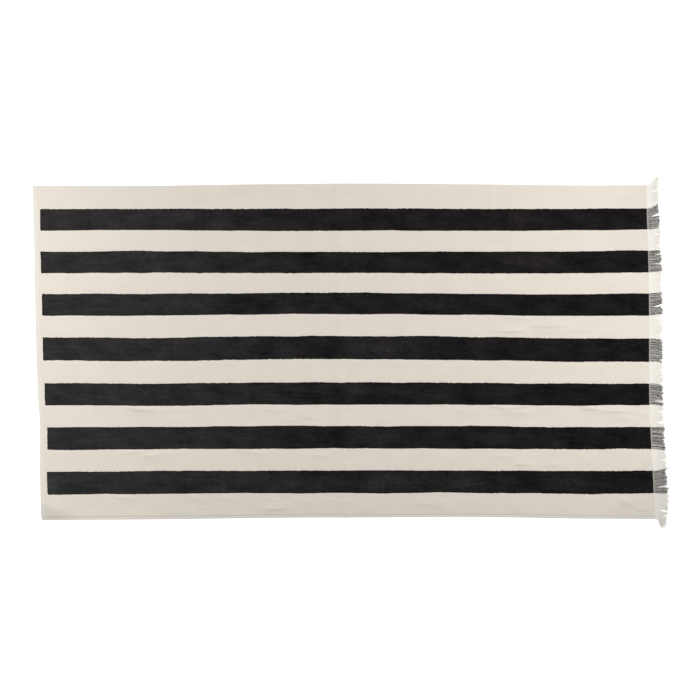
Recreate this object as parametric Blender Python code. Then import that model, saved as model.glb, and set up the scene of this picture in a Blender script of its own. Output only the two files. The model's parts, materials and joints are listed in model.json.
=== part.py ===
"""A beach towel lying flat: one striped pile cloth with turned hems, and the cut fringe at its far end.

Run with: blender --background --python part.py
Sizes are in metres. X runs along the towel towards the fringe, Y across it and Z up from the floor.
The origin is on the floor, under the middle of the towel's box.

A place on the cloth is given as (along, across): along is measured from the hemmed end, and across
from the long side at +Y. The tables below say how the cloth was laid down on the floor.
"""

import bisect
import math
import random
from typing import NamedTuple

import bmesh
import bpy

# The cloth as it was woven and hemmed
CLOTH_LENGTH = 1.650
CLOTH_WIDTH = 0.901
SIDE_AT_PLUS_Y = 0.4535
PILE_THICKNESS = 0.0030

# The woven heading that the fringe hangs from
HEADING_GAP = 0.0003
HEADING_WIDTH = 0.0056
HEADING_THICKNESS = 0.0020

# The fringe: locks of yarn, each a four-sided strand that narrows to its tip
LOCK_COUNT = 150
LOCK_ROOT_BREADTHS = (0.0042, 0.0053)
LOCK_MIDDLE_BREADTH = 0.0048
LOCK_HEIGHT = 0.0024
LOCK_TIP_HEIGHT = 0.0014
LOCK_CLEARANCE = 0.0009
LOCK_WAVE = 0.0004
RAGGED_LENGTH = 0.0020
RAGGED_LEAN_DEGREES = 1.5

# Neighbouring locks draw together at their tips, in bundles of so many.
BUNDLE_SIZES = (2, 5)
GATHER_DEGREES = 1.4
LEAST_TIP_SPACING = 0.0031
TURN_STEP_DEGREES = 0.5
FRINGE_SEED = 7

# Soft ridges that the folded storage has pressed across the cloth: (along, height)
PRESS_FOLD_WIDTH = 0.030
PRESS_FOLDS = (
    (0.400, 0.0012),
    (0.818, 0.0016),
    (1.232, 0.0010),
)

# The mesh: length of a cell along the cloth, and depth of the cells down it, as (until, depth).
# Rows are close together where the wrinkles lie.
CELL_LENGTH = 0.030
CELL_DEPTHS = (
    (0.335, 0.048),
    (0.422, 0.011),
    (0.580, 0.045),
    (0.660, 0.011),
    (0.705, 0.022),
    (0.783, 0.011),
    (0.838, 0.028),
    (0.890, 0.011),
)
FLAT_NEAR_FRINGE = 0.030


class EdgeStep(NamedTuple):
    """The cloth's thickness at one distance in from an edge."""

    inset: float
    thickness: float


SIDE_HEM = (
    EdgeStep(inset=0.0000, thickness=0.0020),
    EdgeStep(inset=0.0025, thickness=0.0028),
    EdgeStep(inset=0.0055, thickness=0.0018),
    EdgeStep(inset=0.0085, thickness=PILE_THICKNESS),
)
END_HEM = (
    EdgeStep(inset=0.0000, thickness=0.0018),
    EdgeStep(inset=0.0040, thickness=0.0024),
    EdgeStep(inset=0.0105, thickness=0.0024),
    EdgeStep(inset=0.0120, thickness=0.0016),
    EdgeStep(inset=0.0145, thickness=PILE_THICKNESS),
)
PILE_END = (
    EdgeStep(inset=0.0000, thickness=0.0022),
    EdgeStep(inset=0.0030, thickness=PILE_THICKNESS),
)


class EndLine(NamedTuple):
    """Where the cloth's two ends lie, in X, at one distance across."""

    across: float
    hem_x: float
    fringe_x: float


# The towel was laid a little askew, so both ends lean towards +X down the cloth.
END_LINES = (
    EndLine(across=0.000, hem_x=-0.8586, fringe_x=0.7975),
    EndLine(across=0.085, hem_x=-0.8569, fringe_x=0.7990),
    EndLine(across=0.215, hem_x=-0.8541, fringe_x=0.8030),
    EndLine(across=0.365, hem_x=-0.8513, fringe_x=0.8050),
    EndLine(across=0.475, hem_x=-0.8485, fringe_x=0.8050),
    EndLine(across=0.580, hem_x=-0.8439, fringe_x=0.8055),
    EndLine(across=0.650, hem_x=-0.8395, fringe_x=0.8080),
    EndLine(across=0.775, hem_x=-0.8393, fringe_x=0.8145),
    EndLine(across=0.885, hem_x=-0.8357, fringe_x=0.8200),
    EndLine(across=0.901, hem_x=-0.8332, fringe_x=0.8215),
)


class Sway(NamedTuple):
    """How far the cloth lies off its straight line in Y, in mm, at one distance across (in metres)."""

    across: float
    hem_end: float
    sixth: float
    third: float
    middle: float
    two_thirds: float
    five_sixths: float
    fringe_end: float


SWAY_PLACES = (0.02, 0.19, 0.37, 0.54, 0.71, 0.88, 0.99)
SWAYS = (
    Sway(0.000, -2.2, -2.7, 1.4, 3.5, 1.6, -1.4, -1.0),
    Sway(0.095, -0.4, 0.7, -0.9, 0.0, -0.5, 0.0, 2.3),
    Sway(0.210, -0.4, 1.6, -0.3, 0.0, -0.7, 0.3, 2.4),
    Sway(0.323, -1.5, -1.2, 1.6, 2.2, -0.3, -1.9, -0.3),
    Sway(0.443, -0.8, -2.4, 2.2, 2.8, 0.5, -4.4, -4.5),
    Sway(0.565, -0.4, -1.9, 1.1, 1.1, 0.7, -1.5, 0.0),
    Sway(0.683, -2.2, -0.9, 1.4, 1.2, 1.2, -1.5, 0.0),
    Sway(0.803, -3.4, -1.1, 0.1, 0.5, 0.7, -1.2, 0.8),
    Sway(0.901, -3.8, -2.2, 1.7, 2.9, 4.0, -0.4, -1.4),
)


class Wrinkle(NamedTuple):
    """A soft ridge: its middle, its size, how far its middle bows towards +Y, and its turn."""

    along: float
    across: float
    length: float
    width: float
    height: float
    bow: float
    turn_degrees: float


WRINKLES = (
    Wrinkle(0.306, 0.611, 0.190, 0.044, 0.0045, 0.002, -5.0),
    Wrinkle(0.262, 0.731, 0.120, 0.039, 0.0035, 0.003, 9.0),
    Wrinkle(0.325, 0.731, 0.130, 0.039, 0.0045, -0.003, 12.0),
    Wrinkle(0.585, 0.728, 0.110, 0.039, 0.0025, 0.002, -5.0),
    Wrinkle(0.698, 0.629, 0.150, 0.047, 0.0035, 0.003, 6.0),
    Wrinkle(1.290, 0.362, 0.170, 0.039, 0.0025, -0.003, 0.0),
    Wrinkle(1.268, 0.396, 0.170, 0.042, 0.0040, -0.008, -2.0),
    Wrinkle(1.392, 0.384, 0.190, 0.042, 0.0040, -0.006, 3.0),
    Wrinkle(1.285, 0.609, 0.160, 0.044, 0.0045, -0.003, -6.0),
    Wrinkle(1.505, 0.610, 0.190, 0.047, 0.0045, 0.004, -8.0),
    Wrinkle(1.600, 0.630, 0.100, 0.044, 0.0035, -0.002, -18.0),
    Wrinkle(1.315, 0.756, 0.140, 0.042, 0.0030, 0.003, -8.0),
    Wrinkle(1.402, 0.757, 0.110, 0.039, 0.0025, 0.002, 4.0),
    Wrinkle(0.645, 0.872, 0.170, 0.044, 0.0035, 0.004, 8.0),
    Wrinkle(1.055, 0.865, 0.130, 0.042, 0.0030, 0.002, -4.0),
    Wrinkle(1.575, 0.862, 0.130, 0.049, 0.0035, 0.003, 24.0),
    Wrinkle(0.030, 0.882, 0.170, 0.065, 0.0045, 0.000, -7.0),
)


class Lean(NamedTuple):
    """How the fringe lies at one distance across: its lean towards +Y, and a lock's length and tip breadth."""

    across: float
    degrees: float
    length: float
    tip_breadth: float


# The locks splay out at both corners and lie in loose groups between them.
LEANS = (
    Lean(0.000, 46.0, 0.038, 0.0062),
    Lean(0.020, 29.0, 0.029, 0.0056),
    Lean(0.036, 19.0, 0.028, 0.0044),
    Lean(0.055, 24.0, 0.028, 0.0034),
    Lean(0.068, 33.0, 0.028, 0.0034),
    Lean(0.086, 30.0, 0.028, 0.0034),
    Lean(0.092, 4.0, 0.029, 0.0036),
    Lean(0.120, 13.0, 0.029, 0.0034),
    Lean(0.165, 3.0, 0.029, 0.0036),
    Lean(0.235, 5.0, 0.029, 0.0036),
    Lean(0.248, 12.0, 0.029, 0.0034),
    Lean(0.270, 3.0, 0.029, 0.0036),
    Lean(0.325, 11.0, 0.030, 0.0034),
    Lean(0.393, 3.0, 0.029, 0.0036),
    Lean(0.414, -9.0, 0.029, 0.0034),
    Lean(0.433, -11.0, 0.030, 0.0034),
    Lean(0.479, 3.0, 0.030, 0.0036),
    Lean(0.506, 0.0, 0.030, 0.0036),
    Lean(0.555, -15.0, 0.031, 0.0034),
    Lean(0.577, -2.0, 0.031, 0.0034),
    Lean(0.584, -9.0, 0.031, 0.0036),
    Lean(0.630, 2.0, 0.030, 0.0036),
    Lean(0.683, -6.0, 0.031, 0.0034),
    Lean(0.690, -14.0, 0.032, 0.0034),
    Lean(0.749, 3.0, 0.031, 0.0036),
    Lean(0.771, 14.0, 0.031, 0.0034),
    Lean(0.814, 9.0, 0.032, 0.0034),
    Lean(0.820, -7.0, 0.033, 0.0036),
    Lean(0.843, 0.0, 0.033, 0.0036),
    Lean(0.873, -2.0, 0.031, 0.0044),
    Lean(0.880, -20.0, 0.031, 0.0062),
    Lean(0.901, -64.0, 0.035, 0.0070),
)

# How a lock runs: share of its length, share of its sideways lean reached there
LOCK_SECTIONS = ((0.35, 0.23), (0.75, 0.66), (1.00, 1.00))

CREAM = (0.68, 0.62, 0.54)
GREY_YARN = (0.45, 0.43, 0.41)


def smooth_value(places, values, at):
    """The value at one place, read from a smooth curve through the given ones."""
    last = len(places) - 1
    left = min(max(bisect.bisect_right(places, at) - 1, 0), last - 1)
    slopes = []
    for index in (left, left + 1):
        before, after = max(index - 1, 0), min(index + 1, last)
        slopes.append((values[after] - values[before]) / (places[after] - places[before]))
    span = places[left + 1] - places[left]
    t = min(max((at - places[left]) / span, 0.0), 1.0)
    rise = values[left + 1] - values[left]
    bend_in = t * (1 - t) ** 2 * (slopes[0] * span - rise)
    bend_out = t**2 * (1 - t) * (slopes[1] * span - rise)
    return values[left] + rise * t + bend_in - bend_out


def straight_value(places, values, at):
    """The value at one place, read from straight lines between the given ones."""
    left = min(max(bisect.bisect_right(places, at) - 1, 0), len(places) - 2)
    t = (at - places[left]) / (places[left + 1] - places[left])
    return values[left] + (values[left + 1] - values[left]) * min(max(t, 0.0), 1.0)


def fade(share):
    """1 at the middle of a ridge, 0 at its edge and past it, with soft shoulders."""
    return 0.5 + 0.5 * math.cos(math.pi * min(abs(share), 1.0))


def sway(along, across):
    """How far this place of the cloth lies off its straight line in Y."""
    depths = [row.across for row in SWAYS]
    share = along / CLOTH_LENGTH
    row_values = [smooth_value(SWAY_PLACES, row[1:], share) for row in SWAYS]
    return smooth_value(depths, row_values, across) / 1000


def on_floor(along, across):
    """The X and Y of a place of the cloth."""
    depths = [line.across for line in END_LINES]
    hem_x = smooth_value(depths, [line.hem_x for line in END_LINES], across)
    fringe_x = smooth_value(depths, [line.fringe_x for line in END_LINES], across)
    x = hem_x + (fringe_x - hem_x) * along / CLOTH_LENGTH
    return x, SIDE_AT_PLUS_Y - across + sway(along, across)


def ridge(wrinkle, along, across):
    """The height of one wrinkle above the floor at this place."""
    turn = math.radians(wrinkle.turn_degrees)
    forward, left = along - wrinkle.along, wrinkle.across - across
    lengthwise = (forward * math.cos(turn) + left * math.sin(turn)) / (wrinkle.length / 2)
    sideways = left * math.cos(turn) - forward * math.sin(turn)
    sideways -= wrinkle.bow * (1 - min(lengthwise**2, 1.0))
    return wrinkle.height * fade(lengthwise) * fade(sideways / (wrinkle.width / 2))


def lift(along, across):
    """How far the cloth's underside is off the floor, which is 0 wherever it lies flat."""
    height = sum(ridge(wrinkle, along, across) for wrinkle in WRINKLES)
    for fold_along, fold_height in PRESS_FOLDS:
        height += fold_height * fade((along - fold_along) / (PRESS_FOLD_WIDTH / 2))
    return height * min((CLOTH_LENGTH - along) / FLAT_NEAR_FRINGE, 1.0)


def edge_thickness(steps, inset):
    """The thickness that an edge's steps give at this distance in from it."""
    return straight_value([step.inset for step in steps], [step.thickness for step in steps], inset)


def thickness(along, across):
    """The cloth's thickness, thinner at its hems and in the stitch line beside them."""
    return min(
        edge_thickness(SIDE_HEM, min(across, CLOTH_WIDTH - across)),
        edge_thickness(END_HEM, along),
        edge_thickness(PILE_END, CLOTH_LENGTH - along),
    )


def even_steps(start, end, step):
    """Places from start to end, without end, that are about a step apart."""
    count = max(round((end - start) / step), 1)
    return [start + (end - start) * index / count for index in range(count)]


def mesh_columns():
    """Where the mesh has a column: at the hem's steps, across each press fold and evenly between them."""
    columns = [step.inset for step in END_HEM[:-1]]
    start = END_HEM[-1].inset
    for fold_along, _ in PRESS_FOLDS:
        columns += even_steps(start, fold_along - PRESS_FOLD_WIDTH / 2, CELL_LENGTH)
        columns += [fold_along - PRESS_FOLD_WIDTH / 2, fold_along]
        start = fold_along + PRESS_FOLD_WIDTH / 2
    columns += even_steps(start, CLOTH_LENGTH - PILE_END[-1].inset, CELL_LENGTH)
    return columns + [CLOTH_LENGTH - step.inset for step in reversed(PILE_END)]


def mesh_rows():
    """Where the mesh has a row: at the side hems' steps, and closer together where wrinkles lie."""
    rows = [step.inset for step in SIDE_HEM[:-1]]
    start = SIDE_HEM[-1].inset
    for until, depth in CELL_DEPTHS:
        rows += even_steps(start, until, depth)
        start = until
    return rows + [start] + [CLOTH_WIDTH - step.inset for step in reversed(SIDE_HEM[:-1])]


def add_slab(mesh, columns, rows, underside, top):
    """Adds a closed slab over a grid of places, and returns each corner's place as a dictionary.

    underside and top each give the point in space of one (along, across) place.
    """
    bmesh.ops.create_grid(mesh, x_segments=len(columns) - 1, y_segments=len(rows) - 1, size=1.0)
    raised = bmesh.ops.extrude_face_region(mesh, geom=mesh.faces[:])["geom"]
    raised_corners = {part for part in raised if isinstance(part, bmesh.types.BMVert)}
    places = {}
    for corner in mesh.verts:
        column = round((corner.co.x + 1) / 2 * (len(columns) - 1))
        row = round((corner.co.y + 1) / 2 * (len(rows) - 1))
        places[corner] = (columns[column], rows[row])
        corner.co = (top if corner in raised_corners else underside)(*places[corner])
    return places


def build_cloth(mesh):
    """The pile cloth: one sheet that keeps its thickness where a wrinkle lifts it."""

    def underside(along, across):
        return (*on_floor(along, across), lift(along, across))

    def top(along, across):
        return (*on_floor(along, across), lift(along, across) + thickness(along, across))

    add_slab(mesh, mesh_columns(), mesh_rows(), underside, top)


class Lock(NamedTuple):
    """One lock of yarn: its place across, its lean, and the middle and breadth of each section."""

    across: float
    root_breadth: float
    lean: float
    middles: tuple
    breadths: tuple


def heading_edge(across):
    """The X and Y of the heading's outer edge, where the locks are rooted."""
    x, y = on_floor(CLOTH_LENGTH, across)
    return x + HEADING_GAP + HEADING_WIDTH, y


def middle_line(across, lean, length, waves):
    """The X and Y of a lock's middle at each of its sections."""
    x, y = heading_edge(across)
    return tuple(
        (x + length * math.cos(lean) * share, y + length * math.sin(lean) * lean_share + wave)
        for (share, lean_share), wave in zip(LOCK_SECTIONS, waves)
    )


def spacing_below(upper, lower, lean):
    """How far the lower point lies below the upper one, measured squarely across the lean."""
    return (upper[1] - lower[1]) * math.cos(lean) - (upper[0] - lower[0]) * math.sin(lean)


def plan_locks():
    """The locks from the +Y side down, each turned until its tip is clear of the one before."""
    chance = random.Random(FRINGE_SEED)
    columns = list(zip(*LEANS))
    locks = []
    left_in_bundle = 0
    for number in range(LOCK_COUNT):
        if left_in_bundle == 0:
            bundle_size = left_in_bundle = chance.randint(*BUNDLE_SIZES)
        below_bundle_middle = (bundle_size + 1) / 2 - left_in_bundle
        left_in_bundle -= 1
        across = (number + 0.5) * CLOTH_WIDTH / LOCK_COUNT
        degrees, length, tip_breadth = (
            straight_value(columns[0], column, across) for column in columns[1:]
        )
        degrees += GATHER_DEGREES * below_bundle_middle
        degrees += chance.uniform(-RAGGED_LEAN_DEGREES, RAGGED_LEAN_DEGREES)
        length += chance.uniform(-RAGGED_LENGTH, RAGGED_LENGTH)
        root_breadth = chance.uniform(*LOCK_ROOT_BREADTHS)
        waves = (chance.uniform(-LOCK_WAVE, LOCK_WAVE), chance.uniform(-LOCK_WAVE, LOCK_WAVE), 0.0)
        while True:
            lean = math.radians(degrees)
            middles = middle_line(across, lean, length, waves)
            if not locks or spacing_below(locks[-1].middles[-1], middles[-1], lean) > LEAST_TIP_SPACING:
                break
            degrees -= TURN_STEP_DEGREES
        breadths = (LOCK_MIDDLE_BREADTH, (LOCK_MIDDLE_BREADTH + tip_breadth) / 2, tip_breadth)
        locks.append(Lock(across, root_breadth, lean, middles, breadths))
    return locks


def fitted_breadths(locks, number):
    """The breadths of one lock, narrowed where the locks beside it leave it less room."""
    lock = locks[number]
    breadths = []
    for section, (middle, breadth) in enumerate(zip(lock.middles, lock.breadths)):
        if number > 0:
            room = spacing_below(locks[number - 1].middles[section], middle, lock.lean)
            breadth = min(breadth, room - LOCK_CLEARANCE)
        if number < len(locks) - 1:
            room = spacing_below(middle, locks[number + 1].middles[section], lock.lean)
            breadth = min(breadth, room - LOCK_CLEARANCE)
        breadths.append(breadth)
    return breadths


def extrude_lock(mesh, root, lock, breadths):
    """Draws one lock out of its root face, flat on the floor, section by section to its tip."""
    end = root
    heights = (LOCK_HEIGHT, LOCK_HEIGHT, LOCK_TIP_HEIGHT)
    for (x, y), breadth, height in zip(lock.middles, breadths, heights):
        end = bmesh.ops.extrude_discrete_faces(mesh, faces=[end])["faces"][0]
        middle = end.calc_center_median()
        for corner in end.verts:
            side = math.copysign(breadth / 2, corner.co.y - middle.y)
            upper = corner.co.z > middle.z
            corner.co = (
                x - side * math.sin(lock.lean),
                y + side * math.cos(lock.lean),
                height if upper else 0.0,
            )


def build_fringe(mesh):
    """The woven heading with its locks, all resting level on the floor."""
    locks = plan_locks()
    rows = [0.0]
    for lock in locks:
        rows += [lock.across - lock.root_breadth / 2, lock.across + lock.root_breadth / 2]
    rows.append(CLOTH_WIDTH)

    def underside(past_cloth, across):
        x, y = on_floor(CLOTH_LENGTH, across)
        return (x + past_cloth, y, 0.0)

    def top(past_cloth, across):
        x, y, _ = underside(past_cloth, across)
        return (x, y, HEADING_THICKNESS)

    outer = HEADING_GAP + HEADING_WIDTH
    places = add_slab(mesh, [HEADING_GAP, outer], rows, underside, top)
    roots = {}
    for face in mesh.faces:
        corners = [places[corner] for corner in face.verts]
        if all(past_cloth == outer for past_cloth, _ in corners):
            roots[rows.index(min(across for _, across in corners))] = face
    for number, lock in enumerate(locks):
        extrude_lock(mesh, roots[2 * number + 1], lock, fitted_breadths(locks, number))


def fabric_material(name, colour, roughness):
    """A plain cloth finish."""
    material = bpy.data.materials.new(name)
    material.use_nodes = True
    shader = material.node_tree.nodes["Principled BSDF"]
    shader.inputs["Base Color"].default_value = (*colour, 1.0)
    shader.inputs["Roughness"].default_value = roughness
    shader.inputs["Metallic"].default_value = 0.0
    return material


def add_piece(name, build, material):
    """Makes one named object from the function that builds its mesh."""
    mesh = bmesh.new()
    build(mesh)
    bmesh.ops.recalc_face_normals(mesh, faces=mesh.faces[:])
    data = bpy.data.meshes.new(name)
    mesh.to_mesh(data)
    mesh.free()
    data.materials.append(material)
    piece = bpy.data.objects.new(name, data)
    bpy.context.scene.collection.objects.link(piece)
    return piece


def main():
    """Clears the scene and builds the towel's two pieces."""
    for old in list(bpy.data.objects):
        bpy.data.objects.remove(old)
    add_piece("towel_cloth", build_cloth, fabric_material("cream_pile", CREAM, 0.95))
    add_piece("fringe", build_fringe, fabric_material("mixed_yarn", GREY_YARN, 0.90))


main()
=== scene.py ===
"""A striped beach towel laid out flat: velour cloth, stitched hems and a cut yarn fringe.

Sizes are in metres, in the part's own frame: X runs along the towel towards its fringe, Y across it
and Z up from the floor. A place on the cloth is (along, across): along is measured from the hemmed
end, and across from the long side at +Y. The tables say how the cloth was laid down on the floor.
"""

import json
import logging
import math
import random
from bisect import bisect_right
from collections.abc import Callable, Iterable, Sequence
from dataclasses import dataclass
from enum import Enum
from typing import NamedTuple

import bmesh
import bpy
from mathutils import Matrix, Vector, noise

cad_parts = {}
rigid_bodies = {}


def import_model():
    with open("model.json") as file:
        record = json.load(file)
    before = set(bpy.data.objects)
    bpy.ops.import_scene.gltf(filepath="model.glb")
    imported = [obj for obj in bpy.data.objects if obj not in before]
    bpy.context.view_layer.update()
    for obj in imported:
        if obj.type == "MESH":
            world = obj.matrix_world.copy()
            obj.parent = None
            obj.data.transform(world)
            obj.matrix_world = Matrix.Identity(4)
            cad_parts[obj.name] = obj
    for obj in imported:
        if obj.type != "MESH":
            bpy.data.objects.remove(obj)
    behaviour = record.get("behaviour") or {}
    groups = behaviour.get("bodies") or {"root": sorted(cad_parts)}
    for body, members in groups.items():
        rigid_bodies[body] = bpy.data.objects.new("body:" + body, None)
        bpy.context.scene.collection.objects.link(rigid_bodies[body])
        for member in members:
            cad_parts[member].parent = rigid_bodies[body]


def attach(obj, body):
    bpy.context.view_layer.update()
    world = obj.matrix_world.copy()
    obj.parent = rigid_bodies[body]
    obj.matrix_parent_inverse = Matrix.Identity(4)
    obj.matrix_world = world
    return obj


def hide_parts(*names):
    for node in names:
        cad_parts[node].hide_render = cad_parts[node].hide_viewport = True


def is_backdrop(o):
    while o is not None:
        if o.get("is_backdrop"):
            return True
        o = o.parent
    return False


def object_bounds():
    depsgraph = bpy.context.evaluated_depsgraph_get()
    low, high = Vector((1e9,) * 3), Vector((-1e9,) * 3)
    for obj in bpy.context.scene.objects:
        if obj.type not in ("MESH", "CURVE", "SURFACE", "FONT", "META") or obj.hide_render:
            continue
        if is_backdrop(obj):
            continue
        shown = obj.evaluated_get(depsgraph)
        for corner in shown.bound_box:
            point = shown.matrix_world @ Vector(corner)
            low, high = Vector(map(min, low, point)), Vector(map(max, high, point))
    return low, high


log = logging.getLogger("towel")

Place = tuple[float, float]
Range = tuple[float, float]
Point = tuple[float, float, float]
Colour = tuple[float, float, float]
Socket = bpy.types.NodeSocket

PLACE_MAP = "cloth_place"
STRIPE_DEPTH = "stripe_depth"
BRUSHED = "brushed"
YARN_MAP = "yarn_turns"
YARN_SHADE = "yarn_shade"

# A face whose normal's Z is below this one is on the underside.
FACES_DOWN = -0.5


def smooth_value(places: Sequence[float], values: Sequence[float], at: float) -> float:
    """The value at one place, read from a smooth curve through the given ones.

    Args:
        places: Where the values are given, in rising order.
        values: The value at each place.
        at: Where to read the curve.

    Returns:
        The curve's value, held level past its two ends.
    """
    last = len(places) - 1
    left = min(max(bisect_right(places, at) - 1, 0), last - 1)
    slopes = []
    for index in (left, left + 1):
        before, after = max(index - 1, 0), min(index + 1, last)
        slopes.append((values[after] - values[before]) / (places[after] - places[before]))
    span = places[left + 1] - places[left]
    t = min(max((at - places[left]) / span, 0.0), 1.0)
    rise = values[left + 1] - values[left]
    bend_in = t * (1 - t) ** 2 * (slopes[0] * span - rise)
    bend_out = t**2 * (1 - t) * (slopes[1] * span - rise)
    return values[left] + rise * t + bend_in - bend_out


def straight_value(places: Sequence[float], values: Sequence[float], at: float) -> float:
    """The value at one place, read from straight lines between the given ones.

    Args:
        places: Where the values are given, in rising order.
        values: The value at each place.
        at: Where to read the lines.

    Returns:
        The value there, held level past the two ends.
    """
    left = min(max(bisect_right(places, at) - 1, 0), len(places) - 2)
    t = (at - places[left]) / (places[left + 1] - places[left])
    return values[left] + (values[left + 1] - values[left]) * min(max(t, 0.0), 1.0)


def fade(share: float) -> float:
    """1 at the middle of a ridge, 0 at its edge and past it, with soft shoulders."""
    return 0.5 + 0.5 * math.cos(math.pi * min(abs(share), 1.0))


def even_steps(start: float, end: float, step: float) -> list[float]:
    """Places from start to end, without end, that are about a step apart.

    Args:
        start: The first place.
        end: Where the places stop.
        step: About how far apart they are.

    Returns:
        The places, evenly spaced.
    """
    count = max(round((end - start) / step), 1)
    return [start + (end - start) * index / count for index in range(count)]


class Spot(NamedTuple):
    """A place on the cloth: how far it is from the hemmed end, and from the long side at +Y."""

    along: float
    across: float


class EndLine(NamedTuple):
    """Where the cloth's two ends lie, in X, at one distance across."""

    across: float
    hem_x: float
    fringe_x: float


class Sway(NamedTuple):
    """How far the cloth lies off its straight line in Y, in mm, at one distance across."""

    across: float
    hem_end: float
    sixth: float
    third: float
    middle: float
    two_thirds: float
    five_sixths: float
    fringe_end: float


class Swell(NamedTuple):
    """A broad soft ridge: its middle, its size, how far it bows towards +Y, and its turn."""

    along: float
    across: float
    length: float
    width: float
    height: float
    bow: float
    turn_degrees: float

    @property
    def slope_up(self) -> float:
        """How wide its slope is on the +Y side."""
        return self.width / 2

    @property
    def slope_down(self) -> float:
        """How wide its slope is on the -Y side."""
        return self.width / 2


class Crease(NamedTuple):
    """A narrow fold: its crest, how wide its slope is on the +Y and -Y side, its bow and its turn."""

    along: float
    across: float
    length: float
    slope_up: float
    slope_down: float
    height: float
    bow: float
    turn_degrees: float


class PressFold(NamedTuple):
    """A straight ridge that folded storage has pressed across the whole cloth."""

    along: float
    height: float


class BrushMark(NamedTuple):
    """Where the black pile has been brushed lighter, or darker if the share is below 0."""

    along: float
    across: float
    length: float
    width: float
    share: float


class Ripple(NamedTuple):
    """Small random swells of the pile: their height, how many to a metre, and the noise's layer."""

    height: float
    along: float
    across: float
    layer: float


END_LINES = (
    EndLine(0.000, -0.8586, 0.7975),
    EndLine(0.085, -0.8569, 0.7990),
    EndLine(0.215, -0.8541, 0.8030),
    EndLine(0.365, -0.8513, 0.8050),
    EndLine(0.475, -0.8485, 0.8050),
    EndLine(0.580, -0.8439, 0.8055),
    EndLine(0.650, -0.8395, 0.8080),
    EndLine(0.775, -0.8393, 0.8145),
    EndLine(0.885, -0.8357, 0.8200),
    EndLine(0.901, -0.8332, 0.8215),
)
SWAY_PLACES = (0.02, 0.19, 0.37, 0.54, 0.71, 0.88, 0.99)
SWAYS = (
    Sway(0.000, -2.2, -2.7, 1.4, 3.5, 1.6, -1.4, -1.0),
    Sway(0.095, -0.4, 0.7, -0.9, 0.0, -0.5, 0.0, 2.3),
    Sway(0.210, -0.4, 1.6, -0.3, 0.0, -0.7, 0.3, 2.4),
    Sway(0.323, -1.5, -1.2, 1.6, 2.2, -0.3, -1.9, -0.3),
    Sway(0.443, -0.8, -2.4, 2.2, 2.8, 0.5, -4.4, -4.5),
    Sway(0.565, -0.4, -1.9, 1.1, 1.1, 0.7, -1.5, 0.0),
    Sway(0.683, -2.2, -0.9, 1.4, 1.2, 1.2, -1.5, 0.0),
    Sway(0.803, -3.4, -1.1, 0.1, 0.5, 0.7, -1.2, 0.8),
    Sway(0.901, -3.8, -2.2, 1.7, 2.9, 4.0, -0.4, -1.4),
)
PRESS_FOLDS = (
    PressFold(0.400, 0.0012),
    PressFold(0.818, 0.0016),
    PressFold(1.232, 0.0010),
)
SWELLS = (
    Swell(0.306, 0.611, 0.190, 0.044, 0.0045, 0.002, -5.0),
    Swell(0.262, 0.731, 0.120, 0.039, 0.0024, 0.003, 9.0),
    Swell(0.325, 0.731, 0.130, 0.039, 0.0026, -0.003, 12.0),
    Swell(0.585, 0.728, 0.110, 0.039, 0.0025, 0.002, -5.0),
    Swell(0.698, 0.629, 0.150, 0.047, 0.0035, 0.003, 6.0),
    Swell(1.290, 0.362, 0.170, 0.039, 0.0025, -0.003, 0.0),
    Swell(1.268, 0.396, 0.170, 0.042, 0.0040, -0.008, -2.0),
    Swell(1.392, 0.384, 0.190, 0.042, 0.0040, -0.006, 3.0),
    Swell(1.285, 0.609, 0.160, 0.044, 0.0045, -0.003, -6.0),
    Swell(1.505, 0.610, 0.190, 0.047, 0.0045, 0.004, -8.0),
    Swell(1.600, 0.630, 0.100, 0.044, 0.0035, -0.002, -18.0),
    Swell(1.315, 0.756, 0.140, 0.042, 0.0030, 0.003, -8.0),
    Swell(1.402, 0.757, 0.110, 0.039, 0.0025, 0.002, 4.0),
    Swell(0.645, 0.872, 0.170, 0.044, 0.0035, 0.004, 8.0),
    Swell(1.055, 0.865, 0.130, 0.042, 0.0030, 0.002, -4.0),
    Swell(1.575, 0.862, 0.130, 0.049, 0.0035, 0.003, 24.0),
    Swell(0.030, 0.882, 0.170, 0.065, 0.0020, 0.000, -7.0),
)
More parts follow.
